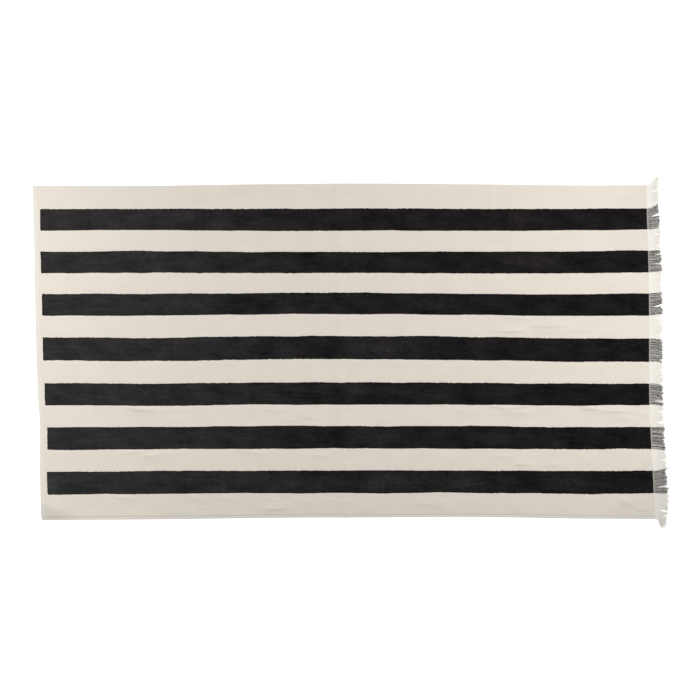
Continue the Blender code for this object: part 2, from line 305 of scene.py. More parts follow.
CREASES = (
    Crease(0.030, 0.862, 0.150, 0.024, 0.0320, 0.0012, 0.0000, -10),
    Crease(0.278, 0.597, 0.122, 0.020, 0.0095, 0.0034, -0.0068, -3),
    Crease(0.370, 0.605, 0.135, 0.018, 0.0085, 0.0016, 0.0000, -3),
    Crease(0.363, 0.635, 0.095, 0.009, 0.0085, 0.0009, 0.0000, -2),
    Crease(0.431, 0.636, 0.034, 0.007, 0.0050, 0.0010, 0.0000, -3),
    Crease(0.642, 0.609, 0.098, 0.014, 0.0070, 0.0016, -0.0022, -4),
    Crease(0.705, 0.617, 0.041, 0.008, 0.0050, 0.0015, 0.0000, -7),
    Crease(0.676, 0.637, 0.044, 0.008, 0.0050, 0.0014, 0.0000, -4),
    Crease(0.737, 0.628, 0.082, 0.014, 0.0085, 0.0012, -0.0027, -7),
    Crease(0.844, 0.605, 0.075, 0.012, 0.0065, 0.0013, 0.0000, -6),
    Crease(0.255, 0.725, 0.078, 0.011, 0.0056, 0.0020, 0.0043, 7),
    Crease(0.287, 0.730, 0.047, 0.010, 0.0055, 0.0020, -0.0016, -21),
    Crease(0.324, 0.727, 0.078, 0.011, 0.0058, 0.0019, 0.0011, 16),
    Crease(0.444, 0.717, 0.031, 0.007, 0.0045, 0.0011, 0.0000, 3),
    Crease(0.576, 0.723, 0.071, 0.011, 0.0060, 0.0013, -0.0011, -5),
    Crease(0.752, 0.731, 0.064, 0.012, 0.0065, 0.0015, -0.0011, -6),
    Crease(0.824, 0.755, 0.030, 0.007, 0.0045, 0.0010, 0.0000, -5),
    Crease(0.106, 0.842, 0.044, 0.009, 0.0050, 0.0011, 0.0000, 4),
    Crease(0.044, 0.845, 0.030, 0.007, 0.0045, 0.0008, 0.0000, -3),
    Crease(0.221, 0.843, 0.089, 0.011, 0.0060, 0.0014, -0.0014, -11),
    Crease(0.418, 0.844, 0.042, 0.008, 0.0050, 0.0012, 0.0000, -16),
    Crease(0.450, 0.875, 0.031, 0.008, 0.0045, 0.0010, 0.0000, -10),
    Crease(0.501, 0.849, 0.042, 0.009, 0.0050, 0.0013, 0.0000, -17),
    Crease(0.627, 0.876, 0.088, 0.012, 0.0050, 0.0018, -0.0016, 1),
    Crease(0.621, 0.849, 0.051, 0.009, 0.0050, 0.0015, -0.0016, -12),
    Crease(0.682, 0.851, 0.044, 0.009, 0.0050, 0.0013, 0.0000, -24),
    Crease(0.719, 0.859, 0.053, 0.009, 0.0060, 0.0013, 0.0000, -29),
    Crease(0.783, 0.854, 0.037, 0.008, 0.0050, 0.0010, 0.0000, -10),
    Crease(0.833, 0.860, 0.054, 0.010, 0.0050, 0.0013, 0.0000, -6),
    Crease(1.036, 0.864, 0.051, 0.012, 0.0060, 0.0018, -0.0011, -4),
    Crease(1.075, 0.857, 0.044, 0.009, 0.0050, 0.0015, 0.0000, -26),
    Crease(1.578, 0.855, 0.068, 0.022, 0.0115, 0.0028, -0.0038, -23),
    Crease(1.630, 0.875, 0.068, 0.014, 0.0065, 0.0024, -0.0016, 4),
    Crease(1.245, 0.601, 0.062, 0.012, 0.0060, 0.0030, -0.0016, -13),
    Crease(1.299, 0.600, 0.096, 0.013, 0.0060, 0.0032, 0.0000, 8),
    Crease(1.307, 0.616, 0.054, 0.010, 0.0060, 0.0020, -0.0011, -6),
    Crease(1.225, 0.621, 0.034, 0.008, 0.0045, 0.0010, 0.0000, 4),
    Crease(1.143, 0.611, 0.058, 0.010, 0.0060, 0.0013, -0.0011, -3),
    Crease(0.931, 0.639, 0.071, 0.009, 0.0050, 0.0009, 0.0000, -1),
    Crease(0.948, 0.615, 0.044, 0.009, 0.0050, 0.0010, 0.0000, 3),
    Crease(1.490, 0.601, 0.113, 0.018, 0.0080, 0.0032, -0.0016, -10),
    Crease(1.563, 0.609, 0.112, 0.016, 0.0080, 0.0032, -0.0016, -1),
    Crease(1.628, 0.622, 0.089, 0.018, 0.0085, 0.0028, 0.0016, -20),
    Crease(1.585, 0.632, 0.047, 0.009, 0.0060, 0.0009, 0.0000, -2),
    Crease(1.252, 0.734, 0.037, 0.008, 0.0045, 0.0014, 0.0000, -6),
    Crease(1.305, 0.754, 0.064, 0.012, 0.0060, 0.0019, -0.0016, -5),
    Crease(1.382, 0.753, 0.055, 0.012, 0.0060, 0.0017, -0.0011, 7),
    Crease(1.128, 0.753, 0.034, 0.009, 0.0050, 0.0011, 0.0000, -2),
    Crease(1.291, 0.357, 0.121, 0.010, 0.0060, 0.0026, -0.0016, -3),
    Crease(1.360, 0.356, 0.078, 0.010, 0.0060, 0.0022, -0.0008, 6),
    Crease(1.275, 0.383, 0.142, 0.024, 0.0095, 0.0050, -0.0108, 2),
    Crease(1.381, 0.371, 0.152, 0.022, 0.0100, 0.0042, -0.0070, 3),
    Crease(1.481, 0.387, 0.078, 0.012, 0.0065, 0.0015, -0.0022, 1),
    Crease(0.952, 0.404, 0.091, 0.010, 0.0050, 0.0009, 0.0000, 1),
    Crease(1.071, 0.274, 0.047, 0.008, 0.0045, 0.0011, 0.0000, -4),
    Crease(1.255, 0.260, 0.047, 0.008, 0.0045, 0.0009, 0.0000, -3),
    Crease(1.313, 0.264, 0.051, 0.008, 0.0045, 0.0009, -0.0008, 2),
    Crease(0.957, 0.053, 0.078, 0.010, 0.0050, 0.0009, 0.0000, 1),
    Crease(1.178, 0.052, 0.078, 0.010, 0.0050, 0.0009, 0.0000, 1),
    Crease(0.739, 0.494, 0.074, 0.016, 0.0100, 0.0010, 0.0000, -3),
)
BRUSH_MARKS = (
    BrushMark(1.316, 0.093, 0.170, 0.060, 0.60),
    BrushMark(0.870, 0.210, 0.160, 0.060, 0.40),
    BrushMark(1.330, 0.208, 0.230, 0.060, 1.10),
    BrushMark(1.060, 0.322, 0.340, 0.070, 0.35),
    BrushMark(0.935, 0.442, 0.300, 0.100, 1.05),
    BrushMark(1.180, 0.440, 0.100, 0.070, 0.45),
    BrushMark(0.860, 0.552, 0.110, 0.050, 0.80),
    BrushMark(1.040, 0.565, 0.280, 0.070, 0.55),
    BrushMark(1.240, 0.565, 0.170, 0.070, 0.45),
    BrushMark(0.920, 0.683, 0.280, 0.080, 0.75),
    BrushMark(1.090, 0.683, 0.150, 0.070, 0.45),
    BrushMark(1.240, 0.685, 0.210, 0.070, 0.75),
    BrushMark(1.390, 0.700, 0.090, 0.036, 0.80),
    BrushMark(0.760, 0.803, 0.260, 0.090, 0.35),
    BrushMark(0.940, 0.803, 0.320, 0.100, 1.15),
    BrushMark(1.140, 0.803, 0.300, 0.090, 1.00),
    BrushMark(1.430, 0.803, 0.240, 0.070, 0.80),
    BrushMark(0.560, 0.322, 0.260, 0.090, -0.40),
    BrushMark(0.740, 0.208, 0.110, 0.090, -0.30),
    BrushMark(0.795, 0.685, 0.110, 0.090, -0.40),
    BrushMark(0.030, 0.805, 0.080, 0.080, 0.50),
    BrushMark(0.600, 0.803, 0.420, 0.090, 0.30),
)


@dataclass(frozen=True)
class ClothLay:
    """How the cloth lies on the floor: its outline, its sway and its wrinkles."""

    length: float = 1.650
    width: float = 0.901
    side_at_plus_y: float = 0.4535
    swell_share: float = 0.55
    press_fold_width: float = 0.030
    flat_near_fringe: float = 0.030
    ripples: tuple[Ripple, ...] = (
        Ripple(height=0.00050, along=7.0, across=11.0, layer=0.3),
        Ripple(height=0.00022, along=24.0, across=42.0, layer=5.7),
    )

    def sway(self, at: Spot) -> float:
        """How far a place of the cloth lies off its straight line in Y.

        Args:
            at: The place on the cloth.

        Returns:
            The distance in metres.
        """
        depths = [row.across for row in SWAYS]
        share = at.along / self.length
        row_values = [smooth_value(SWAY_PLACES, row[1:], share) for row in SWAYS]
        return smooth_value(depths, row_values, at.across) / 1000

    def on_floor(self, at: Spot) -> Place:
        """The X and Y of a place of the cloth.

        Args:
            at: The place on the cloth.

        Returns:
            Its X and Y.
        """
        depths = [line.across for line in END_LINES]
        hem_x = smooth_value(depths, [line.hem_x for line in END_LINES], at.across)
        fringe_x = smooth_value(depths, [line.fringe_x for line in END_LINES], at.across)
        x = hem_x + (fringe_x - hem_x) * at.along / self.length
        return x, self.side_at_plus_y - at.across + self.sway(at)

    @staticmethod
    def ridge_height(ridge: Swell | Crease, at: Spot) -> float:
        """The height of one swell or crease at a place.

        Args:
            ridge: The swell or crease.
            at: The place on the cloth.

        Returns:
            The height in metres, 0 outside the ridge.
        """
        forward, left = at.along - ridge.along, ridge.across - at.across
        if max(abs(forward), abs(left)) > ridge.length:
            return 0.0
        turn = math.radians(ridge.turn_degrees)
        lengthwise = (forward * math.cos(turn) + left * math.sin(turn)) / (ridge.length / 2)
        sideways = left * math.cos(turn) - forward * math.sin(turn)
        sideways -= ridge.bow * (1 - min(lengthwise**2, 1.0))
        slope = ridge.slope_up if sideways > 0 else ridge.slope_down
        return ridge.height * fade(lengthwise) * fade(sideways / slope)

    def lift(self, at: Spot) -> float:
        """How far the cloth's underside is off the floor.

        Args:
            at: The place on the cloth.

        Returns:
            The height in metres, 0 where the cloth lies flat.
        """
        height = self.swell_share * sum(self.ridge_height(swell, at) for swell in SWELLS)
        height += sum(self.ridge_height(crease, at) for crease in CREASES)
        for fold in PRESS_FOLDS:
            height += fold.height * fade((at.along - fold.along) / (self.press_fold_width / 2))
        return height * min((self.length - at.along) / self.flat_near_fringe, 1.0)

    @staticmethod
    def brushed(at: Spot) -> float:
        """How much lighter the black pile is brushed at a place.

        Args:
            at: The place on the cloth.

        Returns:
            The share of light gained, below 0 where it is darker.
        """
        total = 0.0
        for mark in BRUSH_MARKS:
            lengthwise = fade((at.along - mark.along) / (mark.length / 2))
            total += mark.share * lengthwise * fade((at.across - mark.across) / (mark.width / 2))
        return total

    def unevenness(self, at: Spot) -> float:
        """Small random swells of the pile's upper side.

        Args:
            at: The place on the cloth.

        Returns:
            The height in metres, either side of 0.
        """
        total = 0.0
        for ripple in self.ripples:
            place = Vector((at.along * ripple.along, at.across * ripple.across, ripple.layer))
            total += ripple.height * noise.noise(place)
        return total


@dataclass(frozen=True)
class StripePlan:
    """Where the black stripes lie on the cloth."""

    edges: tuple[float, ...] = (
        *(0.0659, 0.1237, 0.1817, 0.2387, 0.2946, 0.3518, 0.4120),
        *(0.4739, 0.5360, 0.5948, 0.6537, 0.7133, 0.7727, 0.8332),
    )
    starts: tuple[float, ...] = (0.0188, 0.0184, 0.0193, 0.0190, 0.0192, 0.0199, 0.0200)

    def sideways_depth(self, across: float) -> float:
        """How far a place is inside a black stripe, measured across the cloth alone."""
        pairs = zip(self.edges[::2], self.edges[1::2])
        return max(min(across - upper, lower - across) for upper, lower in pairs)

    def depth(self, at: Spot) -> float:
        """How far a place is inside a black stripe.

        Args:
            at: The place on the cloth.

        Returns:
            The distance to the stripe's nearest edge, below 0 on the cream.
        """
        along, across = at
        bands = zip(self.edges[::2], self.edges[1::2], self.starts)
        return max(min(across - upper, lower - across, along - start) for upper, lower, start in bands)


LAY = ClothLay()
STRIPES = StripePlan()


class Graph:
    """A material's nodes, with short calls for what cloth and yarn need."""

    def __init__(self, name: str) -> None:
        """Starts a material that holds only its shader and output.

        Args:
            name: The material's name.
        """
        self.material = bpy.data.materials.new(name)
        self.material.use_nodes = True
        self.tree = self.material.node_tree
        self.shader = self.tree.nodes["Principled BSDF"]

    def add(
        self, kind: str, inputs: Iterable[tuple[object, object]] = (), **settings: object
    ) -> bpy.types.Node:
        """Adds a node, sets its properties and feeds its inputs.

        Args:
            kind: The node's type name without its ShaderNode prefix.
            inputs: Each input's name or number, and the value or socket for it.
            settings: The node's properties.

        Returns:
            The node.
        """
        node = self.tree.nodes.new("ShaderNode" + kind)
        for name, value in settings.items():
            setattr(node, name, value)
        for key, value in inputs:
            if isinstance(value, Socket):
                self.tree.links.new(value, node.inputs[key])
            else:
                node.inputs[key].default_value = value
        return node

    def uv(self, name: str) -> Socket:
        """The piece's own UV map."""
        return self.add("UVMap", uv_map=name).outputs["UV"]

    def attribute(self, name: str) -> Socket:
        """A number that the mesh carries at its points."""
        return self.add("Attribute", attribute_name=name).outputs["Fac"]

    def part_of(self, vector: Socket, axis: str) -> Socket:
        """One number of a vector: X, Y or Z."""
        return self.add("SeparateXYZ", [(0, vector)]).outputs[axis]

    def stretched(self, vector: Socket, scale: Point) -> Socket:
        """The vector with each direction scaled."""
        return self.add("Mapping", [("Vector", vector), ("Scale", scale)]).outputs["Vector"]

    def noise(self, vector: Socket, scale: float, detail: float = 2.0) -> Socket:
        """Soft random patches around 0.5, so many of them to a metre."""
        inputs = [("Vector", vector), ("Scale", scale), ("Detail", detail)]
        return self.add("TexNoise", inputs).outputs["Fac"]

    def math(self, operation: str, *values: object) -> Socket:
        """The result of one step of arithmetic on values or sockets."""
        return self.add("Math", enumerate(values), operation=operation).outputs[0]

    def times(self, value: object, other: object) -> Socket:
        """One value or socket times another."""
        return self.math("MULTIPLY", value, other)

    def wandered(self, value: object, wander: Socket, reach: float) -> Socket:
        """The value moved up and down by a noise around 0.5, by up to half the reach each way."""
        return self.math("MULTIPLY_ADD", wander, reach, self.math("SUBTRACT", value, reach / 2))

    def wave(self, value: Socket, period: float) -> Socket:
        """An even wave from 0 to 1 that repeats each period."""
        swing = self.math("SINE", self.times(value, 2 * math.pi / period))
        return self.math("MULTIPLY_ADD", swing, 0.5, 0.5)

    def spread(self, value: Socket, before: Range, after: Range = (0.0, 1.0)) -> Socket:
        """A value moved gently from one range to another, and held inside it.

        Args:
            value: The socket to move.
            before: The range that it comes from.
            after: The range that it goes to.

        Returns:
            The result's socket.
        """
        limits = zip(("From Min", "From Max", "To Min", "To Max"), (*before, *after))
        inputs = [("Value", value), *limits]
        return self.add("MapRange", inputs, interpolation_type="SMOOTHSTEP").outputs["Result"]

    def blend(self, share: object, first: object, second: object) -> Socket:
        """A colour between two others.

        Args:
            share: 0 for the first colour, 1 for the second.
            first: A colour or a colour socket.
            second: A colour or a colour socket.

        Returns:
            The mixed colour's socket.
        """
        colours = [(*c, 1.0) if isinstance(c, tuple) else c for c in (first, second)]
        inputs = [(0, share), (6, colours[0]), (7, colours[1])]
        return self.add("Mix", inputs, data_type="RGBA").outputs[2]

    def dimmed(self, colour: Socket, strength: Socket) -> Socket:
        """A colour times a number."""
        inputs = [(0, colour), ("Scale", strength)]
        return self.add("VectorMath", inputs, operation="SCALE").outputs[0]

    def bump(self, height: Socket, depth: float) -> None:
        """Raises the surface by a pattern.

        Args:
            height: The pattern's socket, from 0 to 1.
            depth: How many metres it rises from 0 to 1.
        """
        inputs = [("Height", height), ("Strength", 1.0), ("Distance", depth)]
        normal = self.add("Bump", inputs).outputs["Normal"]
        self.tree.links.new(normal, self.shader.inputs["Normal"])

    def surface(
        self, colour: Socket, roughness: float, sheen: float, gloss: float
    ) -> bpy.types.Material:
        """Sets what the shader shows.

        Args:
            colour: The base colour's socket.
            roughness: How rough the fibres are.
            sheen: How strong the soft light of loose fibres is.
            gloss: How strong the reflection is.

        Returns:
            The finished material.
        """
        self.tree.links.new(colour, self.shader.inputs["Base Color"])
        self.shader.inputs["Roughness"].default_value = roughness
        self.shader.inputs["Sheen Weight"].default_value = sheen
        self.shader.inputs["Sheen Roughness"].default_value = 0.5
        self.shader.inputs["Specular IOR Level"].default_value = gloss
        return self.material


class PaintedShadePatch(NamedTuple):
    """A patch of painted shade on the cream: from not at all to fully in X and in Y, and the share of
    light lost.

    The slant is how far its limits in Y move towards -Y for each metre in X.
    """

    x: Range
    y: Range
    loss: float
    slant: float = 0.0


@dataclass(frozen=True)
class PaintedSideShade:
    """Painted shade: how much darker the cream is painted towards the long side at -Y and in three
    corners of the towel, where less light falls and, at the corner at -X, a fold casts shade.
    """

    patches: tuple[PaintedShadePatch, ...] = (
        # Painted shade where less light reaches: the -Y side, more of it from the middle on, and the
        # corners at +X.
        PaintedShadePatch(x=(-2.00, -1.90), y=(-0.20, -0.46), loss=0.030),
        PaintedShadePatch(x=(-0.70, -0.35), y=(-0.20, -0.46), loss=0.040),
        PaintedShadePatch(x=(0.66, 0.82), y=(-0.20, -0.46), loss=0.070),
        PaintedShadePatch(x=(0.66, 0.79), y=(0.20, 0.30), loss=0.050),
        # Painted shade of a fold at the corner at -X and -Y.
        PaintedShadePatch(x=(-0.72, -0.80), y=(-0.624, -0.642), loss=0.100, slant=0.266),
    )

    def strength(self, graph: Graph) -> Socket:
        """What the cream is multiplied by to paint the shade in.

        Args:
            graph: The material's nodes.

        Returns:
            A socket that is 1 away from the patches and less in them.
        """
        place = graph.add("TexCoord").outputs["Object"]
        x, y = graph.part_of(place, "X"), graph.part_of(place, "Y")
        strength = 1.0
        for patch in self.patches:
            along = graph.spread(x, patch.x)
            across = graph.spread(graph.math("MULTIPLY_ADD", x, patch.slant, y), patch.y)
            loss = graph.times(graph.times(along, across), patch.loss)
            strength = graph.math("SUBTRACT", strength, loss)
        return strength


class Wander(NamedTuple):
    """How the stripes' edges waver: how many turns to a metre, and how far from end to end."""

    scale: float
    reach: float


class Mottle(NamedTuple):
    """A random pattern in the pile: how many to a metre, its detail, and its reach on each colour."""

    along: float
    across: float
    detail: float
    on_black: float
    on_cream: float


@dataclass(frozen=True)
class StripeDye:
    """The cloth's two yarn colours, and the ragged line of tufts between them."""

    cream_light: Colour = (0.640, 0.592, 0.525)
    cream_dull: Colour = (0.606, 0.556, 0.489)
    # The black is painted lighter at the hemmed end than at the fringe: painted sheen, for the light that
    # the pile's nap catches from the hem side.
    warm_black_at_hem: Colour = (0.0210, 0.0191, 0.0196)
    warm_black_at_fringe: Colour = (0.0070, 0.0057, 0.0061)
    cool_black_at_hem: Colour = (0.0200, 0.0193, 0.0196)
    cool_black_at_fringe: Colour = (0.0060, 0.0058, 0.0059)
    warm_to_cool: Range = (0.10, 0.80)
    line_softness: float = 0.0004
    spread_out: float = 0.0006
    wanders: tuple[Wander, ...] = (Wander(8.0, 0.0056), Wander(45.0, 0.0014), Wander(210.0, 0.0042))
    rim_reach: float = 0.0030
    black_rim: float = 0.62
    cream_rim: float = 1.07
    # Where and how much of the black's painted sheen is lost along the towel, and how much the black's
    # mottle grows with the loss.
    sheen_loss_span: Range = (0.15, 0.95)
    sheen_loss_in_span: float = 0.70
    streaks: Mottle = Mottle(along=14.0, across=150.0, detail=3.0, on_black=0.7, on_cream=0.5)
    patches: Mottle = Mottle(along=17.0, across=30.0, detail=4.0, on_black=1.4, on_cream=1.8)
    grain: Mottle = Mottle(along=210.0, across=210.0, detail=2.0, on_black=0.5, on_cream=0.6)
    scuffs: Mottle = Mottle(along=70.0, across=130.0, detail=3.0, on_black=0.8, on_cream=0.0)
    mottle_gain_with_sheen_loss: float = 0.8
    scuff_share: float = 2.0
    least_light: float = 0.3
    lint: Colour = (0.12, 0.115, 0.11)
    lint_cells: float = 38.0
    lint_radius: Range = (0.030, 0.046)
    bare_cells: float = 0.94
    # Painted shade towards the -Y side and in three corners.
    shade: PaintedSideShade = PaintedSideShade()

    def black_depth(self, graph: Graph, place: Socket) -> Socket:
        """How far inside the ragged black stripes a point is.

        Args:
            graph: The material's nodes.
            place: The cloth's place map.

        Returns:
            The distance's socket, in metres.
        """
        depth = graph.math("ADD", graph.attribute(STRIPE_DEPTH), self.spread_out)
        for wander in self.wanders:
            depth = graph.wandered(depth, graph.noise(place, wander.scale), wander.reach)
        return depth

    def lint_share(self, graph: Graph, place: Socket) -> Socket:
        """Where bits of light lint cling to the pile.

        Args:
            graph: The material's nodes.
            place: The cloth's place map.

        Returns:
            A socket that is 1 on the lint and 0 elsewhere.
        """
        cells = graph.add("TexVoronoi", [("Vector", place), ("Scale", self.lint_cells)])
        speck = graph.spread(cells.outputs["Distance"], self.lint_radius, (1.0, 0.0))
        colours = graph.part_of(cells.outputs["Color"], "X")
        return graph.times(speck, graph.math("GREATER_THAN", colours, self.bare_cells))

    def black(self, graph: Graph, place: Socket, nap_sheen_loss: Socket) -> Socket:
        """The black yarn's colour with painted sheen: painted lighter towards the hemmed end, where light
        catches the pile's nap, and darker towards the fringe.

        Args:
            graph: The material's nodes.
            place: The cloth's place map.
            nap_sheen_loss: How much of the painted sheen is lost, from 0 to 1.

        Returns:
            The colour's socket.
        """
        warm = graph.blend(nap_sheen_loss, self.warm_black_at_hem, self.warm_black_at_fringe)
        cool = graph.blend(nap_sheen_loss, self.cool_black_at_hem, self.cool_black_at_fringe)
        return graph.blend(graph.spread(graph.part_of(place, "Y"), self.warm_to_cool), warm, cool)

    def colour(self, graph: Graph, place: Socket) -> Socket:
        """The colour of the striped cloth, with its brushed streaks and worn patches, painted sheen on
        the black and painted shade on the cream.

        Args:
            graph: The material's nodes.
            place: The cloth's place map.

        Returns:
            The colour's socket.
        """
        depth = self.black_depth(graph, place)
        along = graph.part_of(place, "X")
        # How much of the black's painted sheen is lost: none at the hemmed end, all of it at the fringe.
        nap_sheen_loss = graph.spread(along, self.sheen_loss_span, (0.0, self.sheen_loss_in_span))
        nap_sheen_loss = graph.math("MULTIPLY_ADD", along, (1 - self.sheen_loss_in_span) / LAY.length, nap_sheen_loss)
        patterns = {}
        wander, mottle = 0.0, 0.5
        for kind in (self.streaks, self.patches, self.grain, self.scuffs):
            scaled = graph.stretched(place, (kind.along, kind.across, 1.0))
            patterns[kind] = graph.noise(scaled, 1.0, kind.detail)
            wander = graph.wandered(wander, patterns[kind], kind.on_black)
            mottle = graph.wandered(mottle, patterns[kind], kind.on_cream)
        wander = graph.times(wander, graph.math("MULTIPLY_ADD", nap_sheen_loss, self.mottle_gain_with_sheen_loss, 1.0))
        scuffed = graph.times(patterns[self.scuffs], self.scuff_share)
        brushed = graph.times(graph.attribute(BRUSHED), scuffed)
        light = graph.math("ADD", graph.math("ADD", wander, brushed), 1.0)
        light = graph.math("MAXIMUM", light, self.least_light)
        rim = graph.spread(depth, (0.0, self.rim_reach), (self.black_rim, 1.0))
        # The black with its painted sheen, lighter towards the hemmed end.
        black = graph.dimmed(self.black(graph, place, nap_sheen_loss), graph.times(light, rim))
        black = graph.blend(self.lint_share(graph, place), black, self.lint)
        rim = graph.spread(depth, (-self.rim_reach, 0.0), (1.0, self.cream_rim))
        cream = graph.blend(mottle, self.cream_dull, self.cream_light)
        # Painted shade on the cream towards the -Y side and in three corners.
        cream = graph.dimmed(cream, graph.times(rim, self.shade.strength(graph)))
        share = graph.spread(depth, (-self.line_softness, self.line_softness))
        return graph.blend(share, cream, black)


@dataclass(frozen=True)
class PileFinish:
    """The velour side: short cut pile that stands up, brushed along the towel."""

    dye: StripeDye = StripeDye()
    tuft_scale: float = 520.0
    fibre_scale: float = 1900.0
    pile_depth: float = 0.0009

    def material(self) -> bpy.types.Material:
        """Makes the finish."""
        graph = Graph("velour_pile")
        place = graph.uv(PLACE_MAP)
        tufts = graph.noise(place, self.tuft_scale, detail=3.0)
        fibres = graph.noise(place, self.fibre_scale, detail=1.0)
        graph.bump(graph.wandered(tufts, fibres, reach=0.5), self.pile_depth)
        return graph.surface(self.dye.colour(graph, place), roughness=0.95, sheen=0.05, gloss=0.05)


@dataclass(frozen=True)
class TerryLoopFinish:
    """The back of the cloth: rows of uncut terry loops in the same stripes."""

    dye: StripeDye = StripeDye()
    loop_pitch: float = 0.0016
    row_pitch: float = 0.0021
    loop_depth: float = 0.0009

    def material(self) -> bpy.types.Material:
        """Makes the finish."""
        graph = Graph("terry_loops")
        place = graph.uv(PLACE_MAP)
        uneven = graph.noise(place, scale=300.0)
        loops = graph.wave(graph.part_of(place, "Y"), self.loop_pitch)
        rows = graph.wave(graph.part_of(place, "X"), self.row_pitch)
        graph.bump(graph.wandered(graph.times(loops, rows), uneven, reach=0.8), self.loop_depth)
        return graph.surface(self.dye.colour(graph, place), roughness=0.95, sheen=0.05, gloss=0.05)


@dataclass(frozen=True)
class WovenHemFinish:
    """The turned hems: plain weave in cream yarn, with no pile, and painted shade in its hollows and
    towards the -Y side and corners.
    """

    yarn: Colour = (0.665, 0.632, 0.570)
    # Painted shade: the colour of the weave's hollows, darker than its raised yarn.
    painted_hollow_shade: Colour = (0.615, 0.580, 0.515)
    hollow_to_yarn: Range = (0.35, 0.80)
    yarn_pitch: float = 0.0009
    weave_depth: float = 0.00022
    # Painted shade towards the -Y side and in three corners.
    shade: PaintedSideShade = PaintedSideShade()

    def material(self) -> bpy.types.Material:
        """Makes the finish."""
        graph = Graph("woven_hem")
        place = graph.uv(PLACE_MAP)
        warp = graph.wave(graph.part_of(place, "X"), self.yarn_pitch)
        weft = graph.wave(graph.part_of(place, "Y"), self.yarn_pitch)
        uneven = graph.noise(place, scale=260.0, detail=3.0)
        height = graph.wandered(graph.math("MAXIMUM", warp, weft), uneven, reach=0.6)
        graph.bump(height, self.weave_depth)
        # Painted shade: the weave is painted darker in its hollows.
        colour = graph.blend(graph.spread(height, self.hollow_to_yarn), self.painted_hollow_shade, self.yarn)
        # Painted shade towards the -Y side and in three corners.
        colour = graph.dimmed(colour, self.shade.strength(graph))
        return graph.surface(colour, roughness=0.92, sheen=0.04, gloss=0.08)


@dataclass(frozen=True)
class HeadingFinish:
    """The flat woven strip that holds the fringe: light weft over the stripes' own warp."""

    cream: Colour = (0.705, 0.680, 0.620)
    # Painted shade: the colour of the weave's hollows, darker than its raised cream.
    painted_hollow_shade: Colour = (0.670, 0.640, 0.580)
    hollow_to_cream: Range = (0.30, 0.75)
    black: Colour = (0.020, 0.019, 0.020)
    warp_pitch: float = 0.0012
    weft_pitch: float = 0.0010
    light_width: float = 0.0042
    light_softness: float = 0.0002
    stripe_softness: float = 0.0004
    black_in_light: float = 0.55
    black_outside: float = 0.64
    mixed_range: Range = (0.20, 0.85)
    black_range: Range = (0.05, 1.0)
    weave_depth: float = 0.00030
    # Painted shade towards the -Y side and in three corners.
    shade: PaintedSideShade = PaintedSideShade()

    def material(self) -> bpy.types.Material:
        """Makes the finish."""
        graph = Graph("woven_heading")
        place = graph.uv(PLACE_MAP)
        past = graph.math("SUBTRACT", graph.part_of(place, "X"), LAY.length)
        warp = graph.wave(graph.part_of(place, "Y"), self.warp_pitch)
        weft = graph.wave(past, self.weft_pitch)
        uneven = graph.noise(place, scale=340.0, detail=3.0)
        weave = graph.times(graph.math("ADD", warp, weft), 0.5)
        height = graph.wandered(weave, uneven, reach=0.7)
        graph.bump(height, self.weave_depth)
        # Painted shade: the cream is painted darker in the weave's hollows.
        cream = graph.blend(graph.spread(height, self.hollow_to_cream), self.painted_hollow_shade, self.cream)
        # Painted shade towards the -Y side and in three corners.
        cream = graph.dimmed(cream, self.shade.strength(graph))
        edge = (self.light_width - self.light_softness, self.light_width + self.light_softness)
        share = graph.spread(past, edge, (self.black_in_light, self.black_outside))
        mixed = graph.wandered(graph.wandered(share, weave, reach=0.5), uneven, reach=0.5)
        black = graph.spread(mixed, self.mixed_range, self.black_range)
        stripe = (-self.stripe_softness, self.stripe_softness)
        inside = graph.spread(graph.attribute(STRIPE_DEPTH), stripe)
        colour = graph.blend(graph.times(black, inside), cream, self.black)
        return graph.surface(colour, roughness=0.90, sheen=0.04, gloss=0.10)


@dataclass(frozen=True)
class YarnFinish:
    """Cut fringe yarn of two twisted plies: both cream, both black, or one of each."""

    name: str
    cream: Colour = (0.780, 0.748, 0.687)
    black: Colour = (0.016, 0.015, 0.016)
    turns: float = 9.0
    plies: float = 2.0
    ply_depth: float = 0.00016
    turns_by_shade: float = 160.0
    black_from: Range = (1.0, 1.12)
    # How far the painted shade in the ply hollows reaches, and how dark it is.
    hollow_reach: float = 0.6
    hollow_light: float = 0.90
    # Painted shade towards the -Y side and in three corners.
    shade: PaintedSideShade = PaintedSideShade()

    def material(self) -> bpy.types.Material:
        """Makes the finish."""
        graph = Graph(self.name)
        place = graph.uv(YARN_MAP)
        around, along = graph.part_of(place, "X"), graph.part_of(place, "Y")
        shade = graph.attribute(YARN_SHADE)
        start = graph.times(shade, self.turns_by_shade)
        start = graph.math("MULTIPLY_ADD", around, self.plies, start)
        ply = graph.wave(graph.math("MULTIPLY_ADD", along, self.turns, start), period=1.0)
        graph.bump(ply, self.ply_depth)
        black = graph.spread(graph.math("ADD", ply, shade), self.black_from)
        colour = graph.blend(black, self.cream, self.black)
        # Painted shade: the yarn is painted darker in the hollows between its plies, and towards the -Y
        # side and in three corners.
        painted_hollow_shade = graph.spread(ply, (0.0, self.hollow_reach), (self.hollow_light, 1.0))
        colour = graph.dimmed(colour, graph.times(painted_hollow_shade, self.shade.strength(graph)))
        return graph.surface(colour, roughness=0.85, sheen=0.25, gloss=0.12)


